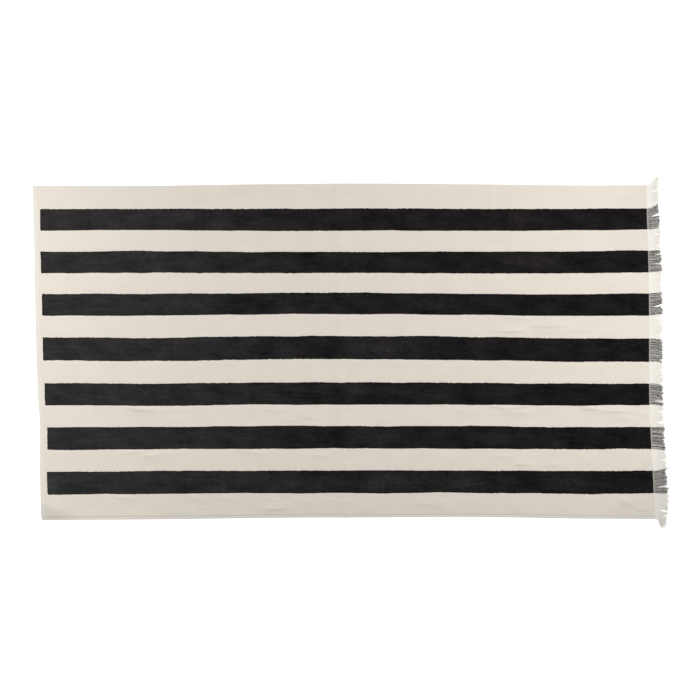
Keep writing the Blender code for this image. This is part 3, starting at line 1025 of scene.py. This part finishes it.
@dataclass(frozen=True)
class ThreadFinish:
    """Fine sewing thread, a little smoother than the cloth."""

    light: Colour = (0.670, 0.640, 0.580)
    dull: Colour = (0.590, 0.555, 0.490)
    strand_depth: float = 0.00005

    def material(self) -> bpy.types.Material:
        """Makes the finish."""
        graph = Graph("sewing_thread")
        place = graph.add("TexCoord").outputs["Object"]
        strands = graph.noise(place, scale=2600.0, detail=1.0)
        graph.bump(strands, self.strand_depth)
        colour = graph.blend(strands, self.dull, self.light)
        return graph.surface(colour, roughness=0.70, sheen=0.02, gloss=0.20)


@dataclass(frozen=True)
class FloorFinish:
    """A bright white studio floor."""

    white: float = 0.92
    glow: float = 0.22

    def material(self) -> bpy.types.Material:
        """Makes the finish."""
        graph = Graph("white_floor")
        shader = graph.shader.inputs
        shader["Base Color"].default_value = (self.white, self.white, self.white, 1.0)
        shader["Roughness"].default_value = 1.0
        shader["Specular IOR Level"].default_value = 0.0
        shader["Emission Color"].default_value = (1.0, 1.0, 1.0, 1.0)
        shader["Emission Strength"].default_value = self.glow
        return graph.material


class Weave(Enum):
    """The kinds of surface on the cloth, numbered as its material slots are."""

    PILE = 0
    HEM = 1
    LOOPS = 2


SheetPoint = tuple[float, float, float, float]
Shape = Callable[[Spot], SheetPoint]


def woven_sheet(columns: Sequence[float], rows: Sequence[float], shape: Shape) -> bmesh.types.BMesh:
    """A closed sheet over a grid of places, with its place map, stripe depths and brushed shares.

    Args:
        columns: The distances along the cloth.
        rows: The distances across it.
        shape: Gives X, Y, the underside's Z and the upper side's Z of one place.

    Returns:
        The sheet's mesh, smooth all over.
    """
    mesh = bmesh.new()
    stripe_depth = mesh.verts.layers.float.new(STRIPE_DEPTH)
    brushed = mesh.verts.layers.float.new(BRUSHED)
    place_map = mesh.loops.layers.uv.new(PLACE_MAP)
    bmesh.ops.create_grid(mesh, x_segments=len(columns) - 1, y_segments=len(rows) - 1, size=1.0)
    raised = bmesh.ops.extrude_face_region(mesh, geom=mesh.faces[:])["geom"]
    upper = {part for part in raised if isinstance(part, bmesh.types.BMVert)}
    shapes = {}
    places = {}
    for corner in mesh.verts:
        column = round((corner.co.x + 1) / 2 * (len(columns) - 1))
        row = round((corner.co.y + 1) / 2 * (len(rows) - 1))
        places[corner] = place = Spot(columns[column], rows[row])
        if place not in shapes:
            shapes[place] = shape(place)
        x, y, low, high = shapes[place]
        corner.co = (x, y, high if corner in upper else low)
        corner[stripe_depth] = STRIPES.depth(place)
        corner[brushed] = LAY.brushed(place)
    for face in mesh.faces:
        face.smooth = True
        for loop in face.loops:
            loop[place_map].uv = places[loop.vert]
    bmesh.ops.recalc_face_normals(mesh, faces=mesh.faces[:])
    return mesh


def finished_piece(
    name: str, mesh: bmesh.types.BMesh, materials: Sequence[bpy.types.Material]
) -> bpy.types.Object:
    """Turns a mesh into one named object that rides on the towel.

    Args:
        name: The piece's name.
        mesh: Its mesh, which is freed.
        materials: Its materials, in the order of the faces' numbers.

    Returns:
        The object.
    """
    data = bpy.data.meshes.new(name)
    mesh.to_mesh(data)
    mesh.free()
    for material in materials:
        data.materials.append(material)
    piece = bpy.data.objects.new(name, data)
    bpy.context.scene.collection.objects.link(piece)
    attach(piece, "root")
    triangles = sum(len(face.vertices) - 2 for face in data.polygons)
    log.info("%s: %d triangles", name, triangles)
    return piece


class EdgeStep(NamedTuple):
    """The thickness at one distance in from an edge."""

    inset: float
    thickness: float


SIDE_HEM = (
    EdgeStep(0.0000, 0.0012),
    EdgeStep(0.0005, 0.0017),
    EdgeStep(0.0015, 0.0021),
    EdgeStep(0.0029, 0.0025),
    EdgeStep(0.0042, 0.0025),
    EdgeStep(0.0051, 0.0017),
    EdgeStep(0.0058, 0.0016),
    EdgeStep(0.0068, 0.0026),
    EdgeStep(0.0088, 0.0032),
)
END_HEM = (
    EdgeStep(0.0000, 0.0012),
    EdgeStep(0.0005, 0.0019),
    EdgeStep(0.0015, 0.0023),
    EdgeStep(0.0040, 0.0024),
    EdgeStep(0.0085, 0.0024),
    EdgeStep(0.0102, 0.0022),
    EdgeStep(0.0110, 0.0020),
    EdgeStep(0.0118, 0.0021),
    EdgeStep(0.0134, 0.0028),
    EdgeStep(0.0160, 0.0032),
)
PILE_END = (
    EdgeStep(0.0000, 0.0021),
    EdgeStep(0.0006, 0.0027),
    EdgeStep(0.0020, 0.0031),
    EdgeStep(0.0040, 0.0032),
)


def edge_thickness(steps: Sequence[EdgeStep], inset: float) -> float:
    """The thickness that an edge's steps give at this distance in from it."""
    return straight_value([step.inset for step in steps], [step.thickness for step in steps], inset)


class Band(NamedTuple):
    """A part of the cloth's width."""

    start: float
    end: float


@dataclass
class TowelCloth:
    """The velour cloth with its turned hems: one thin closed sheet."""

    coarse_row: float = 0.0094
    fine_row: float = 0.0021
    column: float = 0.0078
    creased: tuple[Band, ...] = (
        Band(0.3500, 0.4060),
        Band(0.5990, 0.6500),
        Band(0.7170, 0.7690),
        Band(0.8370, 0.8880),
    )
    groove_depth: float = 0.0004
    groove_reach: float = 0.0022
    side_hem_width: float = 0.0056
    end_hem_width: float = 0.0113
    hem_width_below: float = 0.0110
    pile_rise: float = 0.01
    pile: PileFinish = PileFinish()
    hem: WovenHemFinish = WovenHemFinish()
    loops: TerryLoopFinish = TerryLoopFinish()

    def rows(self) -> list[float]:
        """Where the mesh has a row: at hem steps and stripe edges, and close together at creases."""
        fixed = {step.inset for step in SIDE_HEM}
        fixed |= {LAY.width - step.inset for step in SIDE_HEM}
        for edge in STRIPES.edges:
            fixed |= {edge - self.groove_reach, edge, edge + self.groove_reach}
        fixed |= {band.start for band in self.creased} | {band.end for band in self.creased}
        stops = sorted(fixed)
        rows = []
        for start, end in zip(stops, stops[1:]):
            middle = (start + end) / 2
            in_band = any(band.start < middle < band.end for band in self.creased)
            rows += even_steps(start, end, self.fine_row if in_band else self.coarse_row)
        return [*rows, stops[-1]]

    def columns(self) -> list[float]:
        """Where the mesh has a column: at hem steps, the stripes' start and evenly between them."""
        fixed = {step.inset for step in END_HEM}
        fixed |= {min(STRIPES.starts), max(STRIPES.starts) + self.groove_reach}
        fixed |= {LAY.length - step.inset for step in PILE_END}
        fixed |= {fold.along for fold in PRESS_FOLDS}
        stops = sorted(fixed)
        columns = []
        for start, end in zip(stops, stops[1:]):
            columns += even_steps(start, end, self.column)
        return [*columns, stops[-1]]

    def past_hems(self, at: Spot) -> float:
        """How far inside the turned hems a place on the upper side is, below 0 in a hem."""
        inset = min(at.across, LAY.width - at.across)
        return min(inset - self.side_hem_width, at.along - self.end_hem_width)

    def thickness(self, at: Spot) -> float:
        """The cloth's thickness, with its hems, its uneven pile and a faint groove at stripe edges.

        Args:
            at: The place on the cloth.

        Returns:
            The thickness in metres.
        """
        edges = min(
            edge_thickness(SIDE_HEM, min(at.across, LAY.width - at.across)),
            edge_thickness(END_HEM, at.along),
            edge_thickness(PILE_END, LAY.length - at.along),
        )
        past_hems = self.past_hems(at)
        if past_hems < 0:
            return edges
        groove = self.groove_depth * fade(STRIPES.depth(at) / self.groove_reach)
        return edges - groove + LAY.unevenness(at) * min(past_hems / self.pile_rise, 1.0)

    def shape(self, at: Spot) -> SheetPoint:
        """X, Y, and the underside's and upper side's Z of one place.

        Args:
            at: The place on the cloth.

        Returns:
            The four numbers in metres.
        """
        x, y = LAY.on_floor(at)
        low = LAY.lift(at)
        return x, y, low, low + self.thickness(at)

    def face_weave(self, face: bmesh.types.BMFace, place_map: bmesh.types.BMLayerItem) -> Weave:
        """Which surface a face of the cloth has.

        Args:
            face: The face.
            place_map: The mesh's place map.

        Returns:
            Its weave.
        """
        corners = [loop[place_map].uv for loop in face.loops]
        along, across = (sum(numbers) / len(corners) for numbers in zip(*corners))
        if face.normal.z < FACES_DOWN:
            inset = min(across, LAY.width - across, along)
            return Weave.HEM if inset < self.hem_width_below else Weave.LOOPS
        return Weave.HEM if self.past_hems(Spot(along, across)) < 0 else Weave.PILE

    def build(self) -> bpy.types.Object:
        """Makes the cloth in its three finishes."""
        mesh = woven_sheet(self.columns(), self.rows(), self.shape)
        place_map = mesh.loops.layers.uv[PLACE_MAP]
        for face in mesh.faces:
            face.material_index = self.face_weave(face, place_map).value
        finishes = (self.pile, self.hem, self.loops)
        piece = finished_piece("striped_cloth", mesh, [finish.material() for finish in finishes])
        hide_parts("towel_cloth")
        return piece


class Copies:
    """Many reshaped copies of one small mesh, joined into one."""

    def __init__(self, template: bmesh.types.BMesh) -> None:
        """Starts with no copies.

        Args:
            template: The small mesh, which is freed.
        """
        self.pattern = bpy.data.meshes.new("pattern")
        template.to_mesh(self.pattern)
        template.free()
        self.rest = [corner.co.copy() for corner in self.pattern.vertices]
        self.joined = bmesh.new()

    def add(self, place_corner: Callable[[Vector], Vector], shade: float | None = None) -> None:
        """Joins one more copy.

        Args:
            place_corner: Gives a corner's place in the towel from its place in the small mesh.
            shade: The number that each of its points carries, if any.
        """
        flat = [number for corner in self.rest for number in place_corner(corner)]
        self.pattern.vertices.foreach_set("co", flat)
        if shade is not None:
            layer = self.pattern.attributes[YARN_SHADE]
            layer.data.foreach_set("value", [shade] * len(self.rest))
        self.joined.from_mesh(self.pattern)

    def finish(self) -> bmesh.types.BMesh:
        """The joined mesh, smooth all over."""
        bpy.data.meshes.remove(self.pattern)
        for face in self.joined.faces:
            face.smooth = True
        return self.joined


@dataclass
class HemStitching:
    """The rows of stitches that hold the two side hems and the end hem."""

    cloth: TowelCloth
    pitch: float = 0.0034
    stitch_length: float = 0.0027
    thread_radius: float = 0.00024
    side_inset: float = 0.0040
    end_inset: float = 0.0088
    fringe_inset: float = 0.001
    finish: ThreadFinish = ThreadFinish()

    def seams(self) -> list[tuple[Spot, Spot]]:
        """The two ends of each seam."""
        near, far = self.end_inset, LAY.length - self.fringe_inset
        upper, lower = self.side_inset, LAY.width - self.side_inset
        return [
            (Spot(near, upper), Spot(far, upper)),
            (Spot(near, lower), Spot(far, lower)),
            (Spot(near, upper), Spot(near, lower)),
        ]

    def on_top(self, at: Spot) -> Vector:
        """The point on the cloth's upper side at one place."""
        x, y, _, high = self.cloth.shape(at)
        return Vector((x, y, high))

    def sew(self, copies: Copies, start: Spot, end: Spot) -> None:
        """Lays stitches along one seam.

        Args:
            copies: What the stitches are joined to.
            start: The seam's first place.
            end: Its last place.
        """
        seam = Vector(end) - Vector(start)
        count = int(seam.length / self.pitch)
        step = seam / count
        for number in range(count):
            first = Vector(start) + step * number
            second = first + step * (self.stitch_length / self.pitch)
            ends = self.on_top(Spot(*first)), self.on_top(Spot(*second))
            middle = (ends[0] + ends[1]) / 2
            turn = (ends[1] - ends[0]).to_track_quat("X", "Z").to_matrix()
            copies.add(lambda corner, turn=turn, middle=middle: turn @ corner + middle)

    def build(self) -> bpy.types.Object:
        """Makes all the stitches as one piece."""
        template = bmesh.new()
        bmesh.ops.create_uvsphere(template, u_segments=6, v_segments=5, radius=1.0)
        size = (self.thread_radius, self.thread_radius, self.stitch_length / 2)
        bmesh.ops.scale(template, vec=size, verts=template.verts[:])
        turn = Matrix.Rotation(math.pi / 2, 3, "Y")
        bmesh.ops.rotate(template, cent=(0, 0, 0), matrix=turn, verts=template.verts[:])
        copies = Copies(template)
        for start, end in self.seams():
            self.sew(copies, start, end)
        piece = finished_piece("hem_stitching", copies.finish(), [self.finish.material()])
        return piece


@dataclass
class FringeHeading:
    """The narrow woven strip between the pile and the loose yarns."""

    row: float = 0.0030
    profile: tuple[EdgeStep, ...] = (
        EdgeStep(-0.0006, 0.0014),
        EdgeStep(0.0004, 0.0021),
        EdgeStep(0.0022, 0.0023),
        EdgeStep(0.0040, 0.0020),
        EdgeStep(0.0050, 0.0014),
        EdgeStep(0.0059, 0.0006),
    )
    finish: HeadingFinish = HeadingFinish()

    def shape(self, at: Spot) -> SheetPoint:
        """X, Y, and the underside's and upper side's Z of one place.

        Args:
            at: The place, past the cloth's end.

        Returns:
            The four numbers in metres.
        """
        x, y = LAY.on_floor(Spot(LAY.length, at.across))
        past = at.along - LAY.length
        return x + past, y, 0.0, edge_thickness(self.profile, past)

    def build(self) -> bpy.types.Object:
        """Makes the strip."""
        columns = [LAY.length + step.inset for step in self.profile]
        stops = [0.0, *STRIPES.edges, LAY.width]
        rows = []
        for start, end in zip(stops, stops[1:]):
            rows += even_steps(start, end, self.row)
        mesh = woven_sheet(columns, [*rows, LAY.width], self.shape)
        piece = finished_piece("fringe_heading", mesh, [self.finish.material()])
        return piece


class Lean(NamedTuple):
    """How the fringe lies at one distance across: its lean to +Y, and a lock's length and tip breadth."""

    across: float
    degrees: float
    length: float
    tip_breadth: float


LEANS = (
    Lean(0.000, 46.0, 0.038, 0.0085),
    Lean(0.020, 29.0, 0.029, 0.0072),
    Lean(0.036, 19.0, 0.028, 0.0052),
    Lean(0.055, 24.0, 0.028, 0.0034),
    Lean(0.068, 33.0, 0.028, 0.0034),
    Lean(0.086, 28.0, 0.028, 0.0036),
    Lean(0.092, 10.0, 0.029, 0.0038),
    Lean(0.120, 13.0, 0.029, 0.0040),
    Lean(0.165, 3.0, 0.029, 0.0046),
    Lean(0.235, 5.0, 0.029, 0.0036),
    Lean(0.248, 12.0, 0.029, 0.0034),
    Lean(0.270, 3.0, 0.029, 0.0036),
    Lean(0.325, 11.0, 0.030, 0.0034),
    Lean(0.393, 3.0, 0.029, 0.0036),
    Lean(0.414, -9.0, 0.029, 0.0034),
    Lean(0.433, -11.0, 0.030, 0.0034),
    Lean(0.479, 3.0, 0.030, 0.0036),
    Lean(0.506, 0.0, 0.030, 0.0036),
    Lean(0.555, -15.0, 0.031, 0.0034),
    Lean(0.577, -2.0, 0.031, 0.0034),
    Lean(0.584, -9.0, 0.031, 0.0036),
    Lean(0.630, 2.0, 0.030, 0.0036),
    Lean(0.683, -6.0, 0.031, 0.0034),
    Lean(0.690, -14.0, 0.032, 0.0034),
    Lean(0.749, 3.0, 0.031, 0.0036),
    Lean(0.771, 14.0, 0.031, 0.0034),
    Lean(0.814, 9.0, 0.032, 0.0034),
    Lean(0.820, -7.0, 0.033, 0.0036),
    Lean(0.843, 0.0, 0.033, 0.0036),
    Lean(0.873, -2.0, 0.031, 0.0044),
    Lean(0.880, -20.0, 0.031, 0.0056),
    Lean(0.901, -64.0, 0.035, 0.0120),
)

# The sections of a lock: their shares of its length, and of how far it leans to the side.
LOCK_SHARES = (0.35, 0.75, 1.00)
LEAN_SHARES = (0.23, 0.66, 1.00)

# A yarn along its length: its girth in its own radii, and its height as a share of its breadth.
GIRTH_PLACES = (0.0, 0.24, 0.60, 0.92, 1.0)
GIRTHS = (1.35, 1.32, 1.20, 1.05, 0.75)
FULLNESSES = (0.44, 0.54, 0.62, 0.68, 0.70)


class Lock(NamedTuple):
    """One lock of yarn: its place across, its lean, and the middle and breadth of each section."""

    across: float
    root_breadth: float
    lean: float
    middles: tuple[Place, ...]
    breadths: tuple[float, ...]


@dataclass(frozen=True)
class LockPlan:
    """How the fringe's yarns are gathered into locks, and how each lock lies."""

    heading_width: float = 0.0059
    count: int = 150
    root_breadths: Range = (0.0042, 0.0053)
    middle_breadth: float = 0.0048
    wave: float = 0.0004
    ragged_length: float = 0.0026
    ragged_lean_degrees: float = 2.2
    bundle_sizes: tuple[int, int] = (2, 5)
    gather_degrees: float = 2.0
    least_tip_spacing: float = 0.0031
    turn_step_degrees: float = 0.5
    seed: int = 7

    def root(self, across: float) -> Place:
        """The X and Y of the heading's outer edge, where a lock begins."""
        x, y = LAY.on_floor(Spot(LAY.length, across))
        return x + self.heading_width, y

    def middle_line(
        self, across: float, lean: float, length: float, waves: Sequence[float]
    ) -> tuple[Place, ...]:
        """The X and Y of a lock's middle at each of its sections.

        Args:
            across: Where the lock is rooted.
            lean: Its lean towards +Y.
            length: Its length.
            waves: How far each section is off the line.

        Returns:
            The places, from the first section to the tip.
        """
        x, y = self.root(across)
        reach, rise = length * math.cos(lean), length * math.sin(lean)
        sections = zip(LOCK_SHARES, LEAN_SHARES, waves)
        return tuple((x + reach * part, y + rise * leaned + wave) for part, leaned, wave in sections)

    @staticmethod
    def spacing_below(upper: Place, lower: Place, lean: float) -> float:
        """How far one place lies below another, measured squarely across the lean."""
        return (upper[1] - lower[1]) * math.cos(lean) - (upper[0] - lower[0]) * math.sin(lean)

    def locks(self) -> list[Lock]:
        """The locks from the +Y side down, each turned until its tip is clear of the one before."""
        chance = random.Random(self.seed)
        columns = list(zip(*LEANS))
        locks: list[Lock] = []
        left_in_bundle = 0
        for number in range(self.count):
            if left_in_bundle == 0:
                bundle_size = left_in_bundle = chance.randint(*self.bundle_sizes)
            below_bundle_middle = (bundle_size + 1) / 2 - left_in_bundle
            left_in_bundle -= 1
            across = (number + 0.5) * LAY.width / self.count
            degrees, length, tip_breadth = (
                straight_value(columns[0], column, across) for column in columns[1:]
            )
            degrees += self.gather_degrees * below_bundle_middle
            degrees += chance.uniform(-self.ragged_lean_degrees, self.ragged_lean_degrees)
            length += chance.uniform(-self.ragged_length, self.ragged_length)
            root_breadth = chance.uniform(*self.root_breadths)
            waves = (chance.uniform(-self.wave, self.wave), chance.uniform(-self.wave, self.wave), 0.0)
            while True:
                lean = math.radians(degrees)
                middles = self.middle_line(across, lean, length, waves)
                above = locks[-1].middles[-1] if locks else None
                if above is None or self.spacing_below(above, middles[-1], lean) > self.least_tip_spacing:
                    break
                degrees -= self.turn_step_degrees
            breadths = (self.middle_breadth, (self.middle_breadth + tip_breadth) / 2, tip_breadth)
            locks.append(Lock(across, root_breadth, lean, middles, breadths))
        return locks


# The shades of each kind of yarn: all cream up to 0, all black from 1.12, and part of each turn between.
CREAM_YARN: Range = (-0.06, 0.00)
ONE_PLY_BLACK: Range = (0.38, 0.62)
BLACK_YARN: Range = (1.14, 1.20)


class YarnMix(Enum):
    """Which yarns a fringe piece holds."""

    CREAM = "fringe_cream_yarns"
    MIXED = "fringe_mixed_yarns"


@dataclass(frozen=True)
class YarnPath:
    """The line that one yarn follows from the heading to its cut end."""

    lock: Lock
    root: Place
    sideways: float
    layer: int
    length_share: float
    phase: float
    swing: float
    splay: float
    radius: float
    height_in_radii: float = 0.75
    layer_rise: float = 1.6
    settled_share: float = 0.3
    root_breadth: float = 0.0062
    fuller: tuple[float, ...] = (0.0012, 0.0018, 0.0019)
    swing_turns: float = 10.0
    tuck: float = 0.0016
    tuck_steepness: float = 6.0
    lean_shares: tuple[float, ...] = (0.0, 0.7, 1.0, 1.0)

    def middle(self, share: float) -> tuple[Place, Place]:
        """A place on the lock's middle line and the direction squarely across it.

        Args:
            share: The share of the lock's length, which may be past 1.

        Returns:
            The place, and the direction.
        """
        stops = (0.0, *LOCK_SHARES)
        points = (self.root, *self.lock.middles)
        held = min(share, 1.0)
        x, y = (smooth_value(stops, column, held) for column in zip(*points))
        lean = self.lock.lean * smooth_value(stops, self.lean_shares, held)
        reach = math.dist(points[0], points[-1]) * (share - held)
        across = (-math.sin(lean), math.cos(lean))
        return (x + reach * math.cos(lean), y + reach * math.sin(lean)), across

    def point(self, share: float) -> tuple[Vector, Vector]:
        """A point on the yarn and the direction squarely across it.

        Args:
            share: The share of the yarn's own length.

        Returns:
            The point and the direction.
        """
        at = share * self.length_share
        (x, y), (side_x, side_y) = self.middle(at)
        breadths = (self.root_breadth, *map(sum, zip(self.lock.breadths, self.fuller)))
        offset = self.sideways * straight_value((0.0, *LOCK_SHARES), breadths, at)
        offset += self.swing * math.sin(self.swing_turns * share + self.phase) * share
        offset += self.splay * share**2
        x -= self.tuck * (1 - min(share * self.tuck_steepness, 1.0))
        raised = 1 + self.layer * self.layer_rise * (1 - self.settled_share * share)
        height = self.height_in_radii * self.radius * raised
        return Vector((x + side_x * offset, y + side_y * offset, height)), Vector((side_x, side_y, 0))


@dataclass
class FringeYarns:
    """The loose cut yarns of the fringe, one piece of each mix."""

    plan: LockPlan = LockPlan()
    yarns_in_layers: tuple[int, ...] = (7, 7, 7)
    yarn_radii: Range = (0.00036, 0.00045)
    sides: int = 5
    ring_shares: tuple[float, ...] = (0.0, 0.10, 0.22, 0.34, 0.46, 0.58, 0.70, 0.82, 0.92, 1.0)
    length_shares: Range = (0.88, 1.09)
    swings: Range = (0.0002, 0.0010)
    half_breadth: float = 0.46
    splay: float = 0.0009
    mixed_kinds: tuple[Range, ...] = (*[ONE_PLY_BLACK] * 4, *[BLACK_YARN] * 3)
    stray_chance: float = 0.08
    stray_splay: float = 0.0030
    seed: int = 23

    def template(self) -> bmesh.types.BMesh:
        """One straight yarn of radius 1 and length 1 along X, with its turns in a UV map."""
        mesh = bmesh.new()
        bmesh.ops.create_circle(mesh, cap_ends=True, segments=self.sides, radius=1.0)
        turn = Matrix.Rotation(-math.pi / 2, 3, "Y")
        bmesh.ops.rotate(mesh, cent=(0, 0, 0), matrix=turn, verts=mesh.verts[:])
        end = mesh.faces[:]
        for before, after in zip(self.ring_shares, self.ring_shares[1:]):
            # Only the first ring keeps the face that it grows from, which is the yarn's other end.
            rim = [edge for face in end for edge in face.edges]
            keep = before == 0.0
            grown = bmesh.ops.extrude_face_region(mesh, geom=[*end, *rim], use_keep_orig=keep)["geom"]
            corners = [part for part in grown if isinstance(part, bmesh.types.BMVert)]
            bmesh.ops.translate(mesh, vec=(after - before, 0, 0), verts=corners)
            end = [part for part in grown if isinstance(part, bmesh.types.BMFace)]
        bmesh.ops.recalc_face_normals(mesh, faces=mesh.faces[:])
        for face in mesh.faces:
            if abs(face.normal.x) > 0.5:
                for edge in face.edges:
                    edge.smooth = False
        mesh.verts.layers.float.new(YARN_SHADE)
        turns = mesh.loops.layers.uv.new(YARN_MAP)
        for face in mesh.faces:
            corners = [loop.vert.co for loop in face.loops]
            angles = [math.atan2(corner.z, corner.y) / (2 * math.pi) % 1 for corner in corners]
            wraps = max(angles) - min(angles) > 0.5 and abs(face.normal.x) < 0.5
            for loop, angle in zip(face.loops, angles):
                around = angle + 1 if wraps and angle < 0.5 else angle
                loop[turns].uv = (around, loop.vert.co.x)
        return mesh

    def lay_yarn(self, copies: Copies, path: YarnPath, shade: float) -> None:
        """Joins one yarn that follows its path.

        Args:
            copies: What the yarn is joined to.
            path: The line that it follows.
            shade: The yarn's shade, from its kind's range.
        """
        rings = {share: path.point(share) for share in self.ring_shares}
        stops = sorted(rings)

        def place_corner(corner: Vector) -> Vector:
            """Where a corner of the straight yarn goes.

            Args:
                corner: Its place in the straight yarn.

            Returns:
                Its place in the towel.
            """
            share = min(stops, key=lambda stop: abs(stop - corner.x))
            point, across = rings[share]
            radius = path.radius * straight_value(GIRTH_PLACES, GIRTHS, share)
            fullness = straight_value(GIRTH_PLACES, FULLNESSES, share)
            upwards = Vector((0, 0, corner.z * radius * fullness))
            return point + across * (corner.y * radius) + upwards

        copies.add(place_corner, shade)

    def build(self) -> list[bpy.types.Object]:
        """Makes the cream yarns and the mixed yarns."""
        chance = random.Random(self.seed)
        copies = {mix: Copies(self.template()) for mix in YarnMix}
        for lock in self.plan.locks():
            for layer, count in enumerate(self.yarns_in_layers):
                kinds = chance.sample(self.mixed_kinds, count)
                for number in range(count):
                    place = (number + 0.5 * (layer == 1)) / (count - 0.5)
                    sideways = self.half_breadth * (1 - 2 * place)
                    across = lock.across - sideways * lock.root_breadth
                    mixed = STRIPES.sideways_depth(across) > 0
                    stray = chance.random() < self.stray_chance
                    path = YarnPath(
                        lock=lock,
                        root=self.plan.root(lock.across),
                        sideways=sideways,
                        layer=layer,
                        length_share=chance.uniform(*self.length_shares),
                        phase=chance.uniform(0, 2 * math.pi),
                        swing=chance.uniform(*self.swings),
                        splay=chance.gauss(0, self.stray_splay if stray else self.splay),
                        radius=chance.uniform(*self.yarn_radii),
                    )
                    shade = chance.uniform(*(kinds[number] if mixed else CREAM_YARN))
                    self.lay_yarn(copies[YarnMix.MIXED if mixed else YarnMix.CREAM], path, shade)
        pieces = []
        for mix, joined in copies.items():
            material = YarnFinish(name=mix.value).material()
            piece = finished_piece(mix.value, joined.finish(), [material])
            pieces.append(piece)
        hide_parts("fringe")
        return pieces


class SoftLight(NamedTuple):
    """A large square lamp: where it hangs, what it faces, its side and its power in watts."""

    name: str
    place: Point
    target: Point
    side: float
    power: float


@dataclass
class Studio:
    """The pale floor, the soft lights and the camera straight above the towel."""

    photo_middle: Place = (-0.0021, 0.0069)
    camera_height: float = 6.0
    photo_width: float = 1.89
    sensor_width: float = 36.0
    floor_size: float = 14.0
    floor_gap: float = 0.0001
    sky: float = 0.66
    lights: tuple[SoftLight, ...] = (
        SoftLight("hem_side_light", (-1.6, 0.60, 1.14), (-2.1, -1.4, 0.0), 1.2, 24.0),
        SoftLight("fringe_side_light", (1.6, 0.50, 1.53), (0.2, 0.2, 0.0), 1.1, 28.0),
        SoftLight("far_light", (0.1, 1.80, 1.46), (-0.5, -0.4, 0.0), 1.1, 6.0),
    )

    def light_room(self) -> None:
        """Sets the plain white surroundings and hangs the lights."""
        world = bpy.data.worlds.new("white_studio")
        world.use_nodes = True
        world.node_tree.nodes["Background"].inputs["Color"].default_value = (1, 1, 1, 1)
        world.node_tree.nodes["Background"].inputs["Strength"].default_value = self.sky
        bpy.context.scene.world = world
        for light in self.lights:
            data = bpy.data.lights.new(light.name, "AREA")
            data.size = light.side
            data.energy = light.power
            lamp = bpy.data.objects.new(light.name, data)
            lamp.location = light.place
            aim = Vector(light.target) - Vector(light.place)
            lamp.rotation_euler = aim.to_track_quat("-Z", "Y").to_euler()
            lamp.visible_camera = False
            bpy.context.scene.collection.objects.link(lamp)

    def lay_floor(self) -> bpy.types.Object:
        """Makes the floor, a hair below the towel."""
        mesh = bmesh.new()
        bmesh.ops.create_grid(mesh, x_segments=8, y_segments=8, size=self.floor_size / 2)
        bmesh.ops.translate(mesh, vec=(0, 0, -self.floor_gap), verts=mesh.verts[:])
        data = bpy.data.meshes.new("studio_floor")
        mesh.to_mesh(data)
        mesh.free()
        data.materials.append(FloorFinish().material())
        floor = bpy.data.objects.new("studio_floor", data)
        bpy.context.scene.collection.objects.link(floor)
        floor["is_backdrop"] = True
        return floor

    def hang_camera(self) -> None:
        """Hangs the camera over the middle of the photograph, looking straight down."""
        data = bpy.data.cameras.new("overhead")
        data.sensor_fit = "HORIZONTAL"
        data.sensor_width = self.sensor_width
        data.lens = self.sensor_width * self.camera_height / self.photo_width
        camera = bpy.data.objects.new("overhead", data)
        camera.location = (*self.photo_middle, self.camera_height)
        bpy.context.scene.collection.objects.link(camera)
        bpy.context.scene.camera = camera

    def build(self) -> None:
        """Sets up the whole studio, with colours shown as they are lit."""
        bpy.context.scene.view_settings.view_transform = "Standard"
        self.light_room()
        self.lay_floor()
        self.hang_camera()


def write_sizes(cad_box: Iterable[Vector]) -> None:
    """Gathers the corners of the CAD box and of the visual model's box.

    Args:
        cad_box: The least and the greatest corner of the CAD model.
    """
    boxes = {"cad": cad_box, "visual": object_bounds()}
    rows = {name: [list(corner) for corner in box] for name, box in boxes.items()}


def main() -> None:
    """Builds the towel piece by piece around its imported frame, then the studio."""
    logging.basicConfig(level=logging.INFO, format="%(name)s: %(message)s")
    for old in list(bpy.data.objects):
        bpy.data.objects.remove(old)
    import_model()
    cad_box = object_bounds()
    Studio().build()
    cloth = TowelCloth()
    sheet = cloth.build()
    stitching = HemStitching(cloth).build()
    heading = FringeHeading().build()
    yarns = FringeYarns().build()
    write_sizes(cad_box)


if __name__ == "__main__":
    main()
